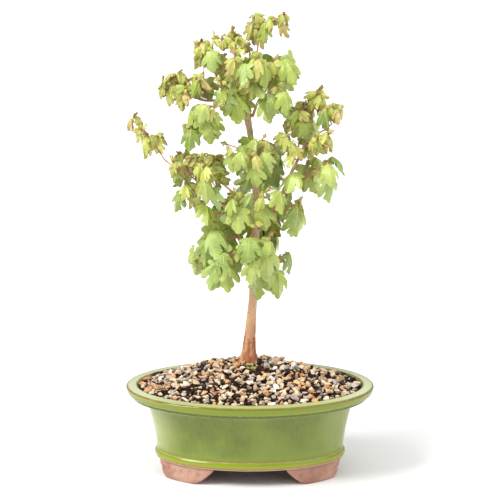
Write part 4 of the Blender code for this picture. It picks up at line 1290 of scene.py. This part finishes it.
# The blade: half of its outline from the stalk to the tip, its veins and its folds, as shares of its length
bladeShapes = {
    "mature": {
        "half": (
            (-0.05, 0.12), (-0.08, 0.28), (-0.02, 0.41), (0.1, 0.42), (0.2, 0.31), (0.27, 0.45), (0.39, 0.56),
            (0.52, 0.6), (0.62, 0.55), (0.63, 0.43), (0.5, 0.22), (0.61, 0.27), (0.71, 0.34), (0.8, 0.3),
            (0.85, 0.19), (0.95, 0.14), (1.0, 0.06),
        ),
        "tip": (1.02, 0),
        "midVein": ((0.2, 0), (0.42, 0), (0.64, 0), (0.86, 0)),
        "sideVein": ((0.24, 0.21), (0.4, 0.36), (0.54, 0.5)),
        "lowVein": ((0.03, 0.27),),
        "ridges": (((0.19, 0.075), (0.36, 0.145), (0.5, 0.22)), ((0.09, 0.15), (0.2, 0.31))),
        "outer": (((0.64, 0), (0.71, 0.34)), ((0.4, 0.36), (0.63, 0.43)), ((0.4, 0.36), (0.27, 0.45))),
    },
    "young": {
        "half": (
            (-0.04, 0.13), (-0.05, 0.3), (0.08, 0.4), (0.19, 0.31), (0.33, 0.49), (0.54, 0.55), (0.65, 0.45),
            (0.54, 0.24), (0.73, 0.29), (0.91, 0.15),
        ),
        "tip": (1, 0),
        "midVein": ((0.25, 0), (0.55, 0), (0.82, 0)),
        "sideVein": ((0.24, 0.21), (0.46, 0.4)),
        "lowVein": ((0.03, 0.24),),
        "ridges": (((0.2, 0.085), (0.38, 0.165), (0.54, 0.24)), ((0.1, 0.15), (0.19, 0.31))),
        "outer": (((0.55, 0), (0.73, 0.29)), ((0.24, 0.21), (0.33, 0.49))),
    },
}
bladeSizes = {
    "veinTurns": (0, 42, 84),  # degrees from the midrib
    "thickness": 0.3,  # mm
    "veinWidth": 0.42,  # mm to each side, at the stalk of a leaf 30 mm long
    "veinHeight": 0.12,
    "tightest": 32,  # degrees between a folded leaf's axis and its side
    "hem": (0.5, 0.16),  # mm to each side, and out of the blade
    "hemFrom": (0.3, 0.39, 0.7),  # lengthways and sideways on a side lobe, and lengthways at the tip
    "creases": {"mature": 27, "young": 15},  # degrees: a fold sharper than this shows as a line
    "domeReach": 0.85,  # how much of the blade is domed, from the stalk
    "limpFrom": 0.45,  # from here on its end hangs back
    "ripple": (0.06, 4),  # how high and how close
    "stripDepth": 0.12,  # mm that veins and hems reach into the blade
    "veinTaper": 0.75,
}
# What each leaf's bends are drawn from, in this order
bladeBends = {
    "young": {"pleat": (0.5, 0.8), "limp": (0.1, 0.4), "dome": (0.05, 0.12)},
    "mature": {"pleat": (0.3, 0.5), "limp": (-0.1, 0.35), "dome": (0.06, 0.15)},
    "all": {"skew": (-0.14, 0.14), "narrow": (0.86, 0.98), "ripple": (0, 100)},
}


# The flat blade: its points, its faces, its rim, its veins and the stretches of its rim that stay bronze
# on a young leaf, cut up once for all leaves of the kind
def flatBlade(shape):
    half, tip = shape["half"], shape["tip"]
    outline = [(0, 0), *half, tip, *mirrored(half)]
    inner = list(shape["midVein"])
    for line in (shape["sideVein"], shape["lowVein"], *[ridge[:-1] for ridge in shape["ridges"]]):
        for u, s in line:
            inner += [(u, s), (u, -s)]
    index = {point: number for number, point in enumerate(outline + inner)}
    lines = [(number, (number + 1) % len(outline)) for number in range(len(outline))]

    def bothSides(*paths):
        return [[(u, s * side) for u, s in path] for side in (1, -1) for path in paths]

    veins = [[(0, 0), *shape["midVein"], tip]]
    veins += bothSides(*[[(0, 0), *shape[vein]] for vein in ("sideVein", "lowVein")])
    for fold in veins + bothSides(*shape["ridges"], *shape["outer"]):
        lines += [(index[one], index[other]) for one, other in zip(fold, fold[1:])]
    flat = [Vector(point) for point in outline + inner]
    made = delaunay_2d_cdt(flat, lines, [list(range(len(outline)))], 1, 1e-6)
    places = [tuple(point) for point in made[0]]
    faces = []
    for side in made[2]:
        a, b, c = (Vector(places[corner]) for corner in side)
        faces.append(tuple(side) if (b - a).cross(c - a) > 0 else tuple(side)[::-1])
    rim = [made[3].index([number]) for number in range(len(outline))]
    along, across, end = bladeSizes["hemFrom"]
    end = [point for point in half if point[0] > end]
    hems = [[*end, tip, *mirrored(end)], *bothSides([(u, s) for u, s in half if u > along and s > across])]
    return {"places": places, "faces": faces, "rim": rim, "veins": veins, "hems": hems}


blades = {kind: flatBlade(shape) for kind, shape in bladeShapes.items()}
leafFaces = {kind: 2 * len(blade["faces"]) + len(blade["rim"]) for kind, blade in blades.items()}
print("faces of a leaf", leafFaces)


# How each leaf hangs: its blade is bent round a cone like a half closed umbrella and pleated along its veins
def soften(leaf, chance):
    kind = ageOf(leaf.length)
    leaf.blade = blades[kind]
    leaf.cone = math.radians(max(bladeSizes["tightest"], 90 - 1.5 * math.degrees(leaf.fold)))
    for bend, ends in (*bladeBends[kind].items(), *bladeBends["all"].items()):
        setattr(leaf, bend, chance.uniform(*ends))
    leaf.frame = turned(leaf.along, -leaf.up, leaf.cone), turned(leaf.up, leaf.along, leaf.cone)


def bladePoint(leaf, u, s, lift=0.0):
    reach = math.hypot(u, s)
    turn = math.atan2(s, u) if reach else 0
    gap = min(abs(abs(math.degrees(turn)) - vein) for vein in bladeSizes["veinTurns"])
    around = (turn * leaf.narrow + leaf.skew * reach) / math.sin(leaf.cone)
    axis, outwards = leaf.frame
    spoke = turned(outwards, leaf.across, around)
    ray = turned(axis, spoke, leaf.cone)
    face = turned(spoke, -axis, leaf.cone)
    back = leaf.curl * reach * reach + leaf.pleat * reach * math.sin(math.radians(gap))
    back += leaf.limp * max(0, reach - bladeSizes["limpFrom"]) ** 2
    back -= leaf.dome * math.sin(math.pi * min(1, reach / bladeSizes["domeReach"]))
    high, close = bladeSizes["ripple"]
    back += high * reach * noise.noise(Vector((u * close, s * close, leaf.ripple)))
    return leaf.foot + (ray * reach - face * back) * leaf.length + face * lift


def bladeSkin(leaf):
    half = bladeSizes["thickness"] * mm / 2
    blade = leaf.blade
    count = len(blade["places"])
    points = [bladePoint(leaf, u, s, lift) for lift in (half, -half) for u, s in blade["places"]]
    faces = [side[::-1] for side in blade["faces"]]
    faces += [tuple(corner + count for corner in side) for side in blade["faces"]]
    for one, other in zip(blade["rim"], blade["rim"][1:] + blade["rim"][:1]):
        faces.append((one, other, other + count, one + count))
    return points, faces


# Strips with three sides that lie on the blade along the given lines
def stripSkins(leaf, lines, wide, high, narrowing):
    skins = []
    depth = bladeSizes["stripDepth"]
    for line in lines:
        rings = []
        for number, (u, s) in enumerate(line):
            width = wide * mm * (1 - narrowing * number / (len(line) - 1))
            after, before = line[min(number + 1, len(line) - 1)], line[max(number - 1, 0)]
            axis = (bladePoint(leaf, *after) - bladePoint(leaf, *before)).normalized()
            middle = bladePoint(leaf, u, s)
            face = (bladePoint(leaf, u, s, mm) - middle).normalized()
            side = axis.cross(face).normalized() * width
            low = middle + face * (bladeSizes["thickness"] / 2 - depth) * mm
            rings.append([low - side, low + side, low + face * (high + depth) * mm])
        skins.append(loft(rings))
    return skins


twigSizes = {  # in millimetres, apart from shares and counts
    "thick": 0.85, "thin": 0.5, "steps": 22, "sunk": 1.3, "stalk": 0.36, "bud": 3.6,
    "knot": (0.4, 0.03),  # how much thicker a twig is at its leaves, and on how much of its length
    "budShape": ((-0.15, 0.6), (0.1, 0.9), (0.35, 1), (0.65, 0.75), (0.9, 0.35), (1, 0.08)),
    "budRadius": 0.85,
    "tuftLeaf": (5.5, 9.5),
    "tuftStalk": 1.8,
    "tuftLeaves": {"young": 3, "mature": 2},
}


# A round twig through points, thicker where the given shares of its length have leaves
def roundTwig(path, thick, thin, sides=6, knots=()):
    knot, reach = twigSizes["knot"]
    radii = taper(thick, thin, len(path))
    for place in knots:
        thicker = [1 + knot * bump(share - place, reach) for share in shares(len(path) - 1)]
        radii = [radius * more for radius, more in zip(radii, thicker)]
    return loft(tube(path, radii, sides))


def stalkSkin(leaf):
    middle = leaf.node.lerp(leaf.foot, 0.55) + skyward * 0.14 * (leaf.foot - leaf.node).length
    end = leaf.foot + leaf.along * 0.8 * mm - leaf.up * 0.1 * mm
    path = [leaf.node * (1 - t) ** 2 + middle * 2 * t * (1 - t) + end * t**2 for t in shares(5)]
    thick = twigSizes["stalk"] * mm * (0.6 + 0.4 * leaf.length / (30 * mm))
    return roundTwig(path, thick * 1.25, thick * 0.85, sides=5)


def budSkin(place, axis, chance):
    size = twigSizes
    length = size["bud"] * mm * chance.uniform(0.8, 1.3)
    path = [place + axis * length * share for share, _ in size["budShape"]]
    return loft(tube(path, [size["budRadius"] * mm * wide for _, wide in size["budShape"]], 6, axis=axis))


# The newest leaves stand in a tuft round a shoot's tip
def tuft(path, name, number):
    size = twigSizes
    count = size["tuftLeaves"]["young" if isYoung(name) else "mature"]
    axis = (path[-1] - path[-2]).normalized()
    side = axis.orthogonal().normalized()
    leaves = []
    for petal in range(count):
        chance = random.Random(f"tuft {name} {number} {petal}")
        sideways = turned(side, axis.cross(side), 2 * math.pi * petal / count + chance.gauss(0, 0.4))
        leaf = Leaf(path[-1], sideways, axis, chance.uniform(*size["tuftLeaf"]) * mm, 0.4, chance)
        leaf.foot = leaf.node + (sideways * 0.8 + axis).normalized() * size["tuftStalk"] * mm
        leaf.lay(sideways * chance.uniform(0.5, 1.1) + axis * 0.5 + skyward * chance.uniform(-0.8, 0.5), axis)
        if (leaf.foot + leaf.along * leaf.length).z < rule["reach"][2]:
            leaves.append(leaf)
    return leaves


# The kinds of leaf, each one plain colour, dealt out by spray
leafKinds = {
    "lightLeaf": tone(174, 191, 82),
    "freshLeaf": tone(158, 178, 50),
    "deepLeaf": tone(126, 150, 36),
    # A bluish green that stands for a painted sheen, dealt to whole leaves
    "blueLeaf": tone(160, 184, 84),
    "budGreenLeaf": tone(202, 206, 90),
    "oliveLeaf": tone(190, 184, 84),
    "bronzeLeaf": tone(190, 164, 84),
}
creased = ("budGreenLeaf", "oliveLeaf", "bronzeLeaf")  # kinds with the creases of young leaves
leafDeal = {
    "mature": (("freshLeaf", 0.42), ("lightLeaf", 0.28), ("deepLeaf", 0.15), ("blueLeaf", 0.15)),
    "young": (("budGreenLeaf", 0.55), ("oliveLeaf", 0.24), ("freshLeaf", 0.13), ("bronzeLeaf", 0.08)),
    "tuft": (("bronzeLeaf", 0.34), ("oliveLeaf", 0.32), ("budGreenLeaf", 0.34)),
}
# Masses whose leaves are a little smaller than the solids', so that the wood shows between them
airy = {"foliage_crown_left_low": 0.84, "foliage_trunk_front": 0.88, "foliage_mid_front": 0.9}
leafLook = {
    "roughness": 0.33,
    "ribSpacing": 0.088,  # between side veins, of the leaf's length
    "ribSlant": 1.25,
    "ribWander": 0.8,  # of the spacing
    "ribShare": 0.16,
    "ribHeight": 0.45,
    "clouds": (60, 2, 0.3, 0.7), "quilt": (300, 3, 0.2, 0.8), "wander": (90, 2, 0, 1),
    "relief": (0.75, 0.6),
    "paleSheen": (1.1, 0.045),  # how much brighter, and how much white, the white being a painted sheen
    "deeper": 0.82,
    "vein": tone(202, 212, 118),
    "hem": tone(164, 116, 62),
    "stalk": tone(220, 164, 126),
    "twig": tone(206, 152, 114),
    "twigDark": tone(168, 112, 84),
    "bud": tone(168, 112, 74),
}
shootLook = {"clouds": (110, 2, 0.35, 0.65), "grain": (900, 2, 0.2, 0.8), "relief": (0.25, 0.1)}
# The pieces that all masses share, each with its two colours and its roughness
shootKinds = {
    "leafVein": ("vein", "vein", 0.5),
    "leafHem": ("hem", "bud", 0.5),
    "leafStalk": ("stalk", "twig", 0.45),
    "leafTwig": ("twig", "twigDark", 0.55),
    "leafBud": ("bud", "twigDark", 0.5),
}


# The small side veins, from each vertex's place on its blade: 0 on a vein, 1 half way to the next
def sideRibs(leaf):
    look = leafLook
    lengthways, across, *_ = leaf.painted("blade")
    across = leaf.reckon("ABSOLUTE", across)
    squared = leaf.reckon("MULTIPLY_ADD", lengthways, lengthways, leaf.times(across, across))
    between = math.radians(bladeSizes["veinTurns"][1] / 2)
    gap = leaf.reckon("PINGPONG", leaf.reckon("ARCTAN2", across, lengthways), between)
    slant = leaf.times(leaf.reckon("SINE", gap), look["ribSlant"])
    forward = leaf.reckon("SUBTRACT", leaf.reckon("COSINE", gap), slant)
    half = look["ribSpacing"] / 2
    wander = leaf.times(leaf.clouds(*look["wander"]), look["ribWander"] * look["ribSpacing"])
    level = leaf.reckon("MULTIPLY_ADD", leaf.reckon("SQRT", squared), forward, wander)
    return leaf.span(leaf.reckon("PINGPONG", level, half), 0, half)


def makeLeafMaterial(name, colour):
    look = leafLook
    rough = look["roughness"]
    leaf = Look(name, Roughness=rough, Specular_IOR_Level=0.8, Coat_Weight=0.2, Coat_Roughness=0.3)
    bright, white = look["paleSheen"]
    # The lighter tone of the leaf's clouds is partly random tone and partly painted sheen, from the white
    # added to it
    paleSheen = (*[min(1, level * bright + white) for level in colour[:3]], 1)
    deeper = (*[level * look["deeper"] for level in colour[:3]], 1)
    ribs = sideRibs(leaf)
    lines = leaf.times(leaf.span(ribs, 0.3, 0), look["ribShare"])
    colour = leaf.mix(lines, leaf.mix(leaf.clouds(*look["clouds"]), deeper, paleSheen), look["vein"])
    quilt = leaf.clouds(*look["quilt"])
    leaf.feed(leaf.surface["Roughness"], leaf.span(quilt, 0, 1, rough - 0.07, rough + 0.12))
    relief = leaf.reckon("MULTIPLY_ADD", ribs, look["ribHeight"], quilt)
    return leaf.finish(colour, relief, *look["relief"])


def makeShootMaterial(name):
    first, second, roughness = shootKinds[name]
    look = {**shootLook, "roughness": roughness}
    return plainMaterial(name, look, (leafLook[first], leafLook[second]))


def dealt(kinds, chance):
    draw = chance.random() * sum(share for _, share in kinds)
    for kind, share in kinds:
        draw -= share
        if draw <= 0:
            return kind
    return kinds[0][0]


def makeFoliage():
    size = twigSizes
    site = Site()
    grown = {name: massLeaves(name, site) for name in masses}
    print("leaves that the solids have too", sum(len(leaves) for leaves in grown.values()))
    extra = {name: fillIn(name, site) for name in masses}
    print("smaller leaves", sum(len(leaves) for leaves in extra.values()))
    skins, wearers, places = [{kind: [] for kind in leafKinds} for _ in range(3)]
    parts = {kind: [] for kind in shootKinds}
    for name in masses:
        chance = random.Random("spray " + name)
        leaves = [(leaf, ageOf(leaf.length)) for leaf in grown[name] + extra[name]]
        for number, (way, (start, *_, tip)) in enumerate(site.shoots[name]):
            path = [start - way * size["sunk"] * mm, *shootPath(start, way, tip, size["steps"])]
            twig = roundTwig(path, size["thick"] * mm, size["thin"] * mm, knots=pairShares(name))
            parts["leafTwig"].append(twig)
            parts["leafBud"].append(budSkin(tip, (path[-1] - path[-2]).normalized(), chance))
            leaves += [(leaf, "tuft") for leaf in tuft(path, name, number)]
        for leaf, group in leaves:
            leaf.length *= airy.get(name, 1)
            soften(leaf, chance)
            kind = dealt(leafDeal[group], chance)
            skins[kind].append(bladeSkin(leaf))
            places[kind] += leaf.blade["places"] * 2
            wearers[kind].append(name)
            parts["leafStalk"].append(stalkSkin(leaf))
            if group != "tuft":
                wide = bladeSizes["veinWidth"] * (leaf.length / (30 * mm)) ** 0.5
                high, narrowing = bladeSizes["veinHeight"], bladeSizes["veinTaper"]
                parts["leafVein"] += stripSkins(leaf, leaf.blade["veins"], wide, high, narrowing)
            if group != "mature":
                parts["leafHem"] += stripSkins(leaf, leaf.blade["hems"], *bladeSizes["hem"], 0)
    for kind, colour in leafKinds.items():
        leaves = meshPiece(kind, gather(skins[kind]), makeLeafMaterial(kind, colour))
        crease = bladeSizes["creases"]["young" if kind in creased else "mature"]
        leaves.data.set_sharp_from_angle(angle=math.radians(crease))
        spots = leaves.data.color_attributes.new("blade", "FLOAT_COLOR", "POINT")
        for point, (u, s) in zip(spots.data, places[kind]):
            point.color = (u, s, 0, 1)
        dress(leaves, "maple_leaf", *sorted(set(wearers[kind])))
        print(kind, len(skins[kind]), "leaves")
    for kind in shootKinds:
        piece = meshPiece(kind + "s", gather(parts[kind]), makeShootMaterial(kind), outwards=True)
        dress(piece, "maple_leaf", *masses)


makeFoliage()
print("foliage made")


# A seedling at the trunk's foot
sprout = {  # its place and sizes in millimetres
    "place": (1, 11, 104.5),
    "leaves": 5,
    "leaf": 5,
    "leafHeight": 2,
    "stem": 3,
    "stemRadii": (0.4, 0.3),
}


def makeSprout(material):
    foot = Vector(sprout["place"]) * mm
    skins = []
    for number in range(sprout["leaves"]):
        chance = random.Random(f"sprout {number}")
        sideways = turned(Vector((1, 0, 0)), Vector((0, 1, 0)), 2 * math.pi * number / sprout["leaves"])
        node = foot + skyward * sprout["leafHeight"] * mm
        leaf = Leaf(node, sideways, skyward, sprout["leaf"] * mm, 0, chance)
        leaf.lay(sideways + skyward * 0.5, skyward)
        soften(leaf, chance)
        skins += [bladeSkin(leaf), stalkSkin(leaf)]
    thick, thin = sprout["stemRadii"]
    skins.append(roundTwig([foot, foot + skyward * sprout["stem"] * mm], thick * mm, thin * mm))
    dress(meshPiece("seedling", gather(skins), material), "maple_leaf")


makeSprout(bpy.data.materials["deepLeaf"])


# The floor, the light and the camera
stageLook = {
    "floor": tone(240, 240, 240),
    "floorSize": 40,  # metres
    "floorRoughness": 0.9,
    "world": (0, 0.4, 0.1, 0.62),  # the heights between which its light grows, and its strength at both
    "suns": {  # how far each leans from overhead and turns to the right, and how wide it is, in degrees
        "keySun": {"strength": 2.8, "lean": 45, "turn": -60, "width": 26},
        "fillSun": {"strength": 0.95, "lean": 50, "turn": 62, "width": 50},
        "topSun": {"strength": 0.8, "lean": 18, "turn": 0, "width": 60},
    },
}
cameraView = {"place": (0, -2.2, 0.772), "pitch": 13.71, "lens": 161.4, "clipEnd": 100}


def makeStage():
    look = stageLook
    floor = Look("paleFloor", Roughness=look["floorRoughness"], Base_Color=look["floor"]).material
    half = look["floorSize"] / 2
    corners = [(-half, -half, 0), (half, -half, 0), (half, half, 0), (-half, half, 0)]
    meshPiece("floor", (corners, [(0, 1, 2, 3)]), floor)
    world = bpy.data.worlds.new("studio")
    bpy.context.scene.world = world
    world.use_nodes = True
    sky = Nodes(world.node_tree)
    way = sky.put("ShaderNodeTexCoord").outputs["Generated"]
    height = sky.put("ShaderNodeSeparateXYZ", Vector=way).outputs[2]
    seen = sky.put("ShaderNodeLightPath").outputs["Is Camera Ray"]  # the studio's wall is white to the eye
    wall = world.node_tree.nodes["Background"].inputs
    sky.feed(wall["Strength"], sky.larger(sky.span(height, *look["world"]), seen))
    wall["Color"].default_value = (1, 1, 1, 1)


def makeSun(name, values):
    light = bpy.data.lights.new(name, "SUN")
    light.energy = values["strength"]
    light.angle = math.radians(values["width"])
    inScene(name, light).rotation_euler = (math.radians(values["lean"]), 0, math.radians(values["turn"]))


def makeCamera():
    view = cameraView
    lens = bpy.data.cameras.new("camera")
    lens.lens = view["lens"]
    lens.clip_end = view["clipEnd"]
    camera = inScene("camera", lens)
    camera.location = view["place"]
    camera.rotation_euler = (math.radians(90 - view["pitch"]), 0, 0)
    bpy.context.scene.camera = camera


makeStage()
for sunName, sunValues in stageLook["suns"].items():
    makeSun(sunName, sunValues)
makeCamera()
bpy.context.scene.view_settings.view_transform = "Standard"
print("stage set")
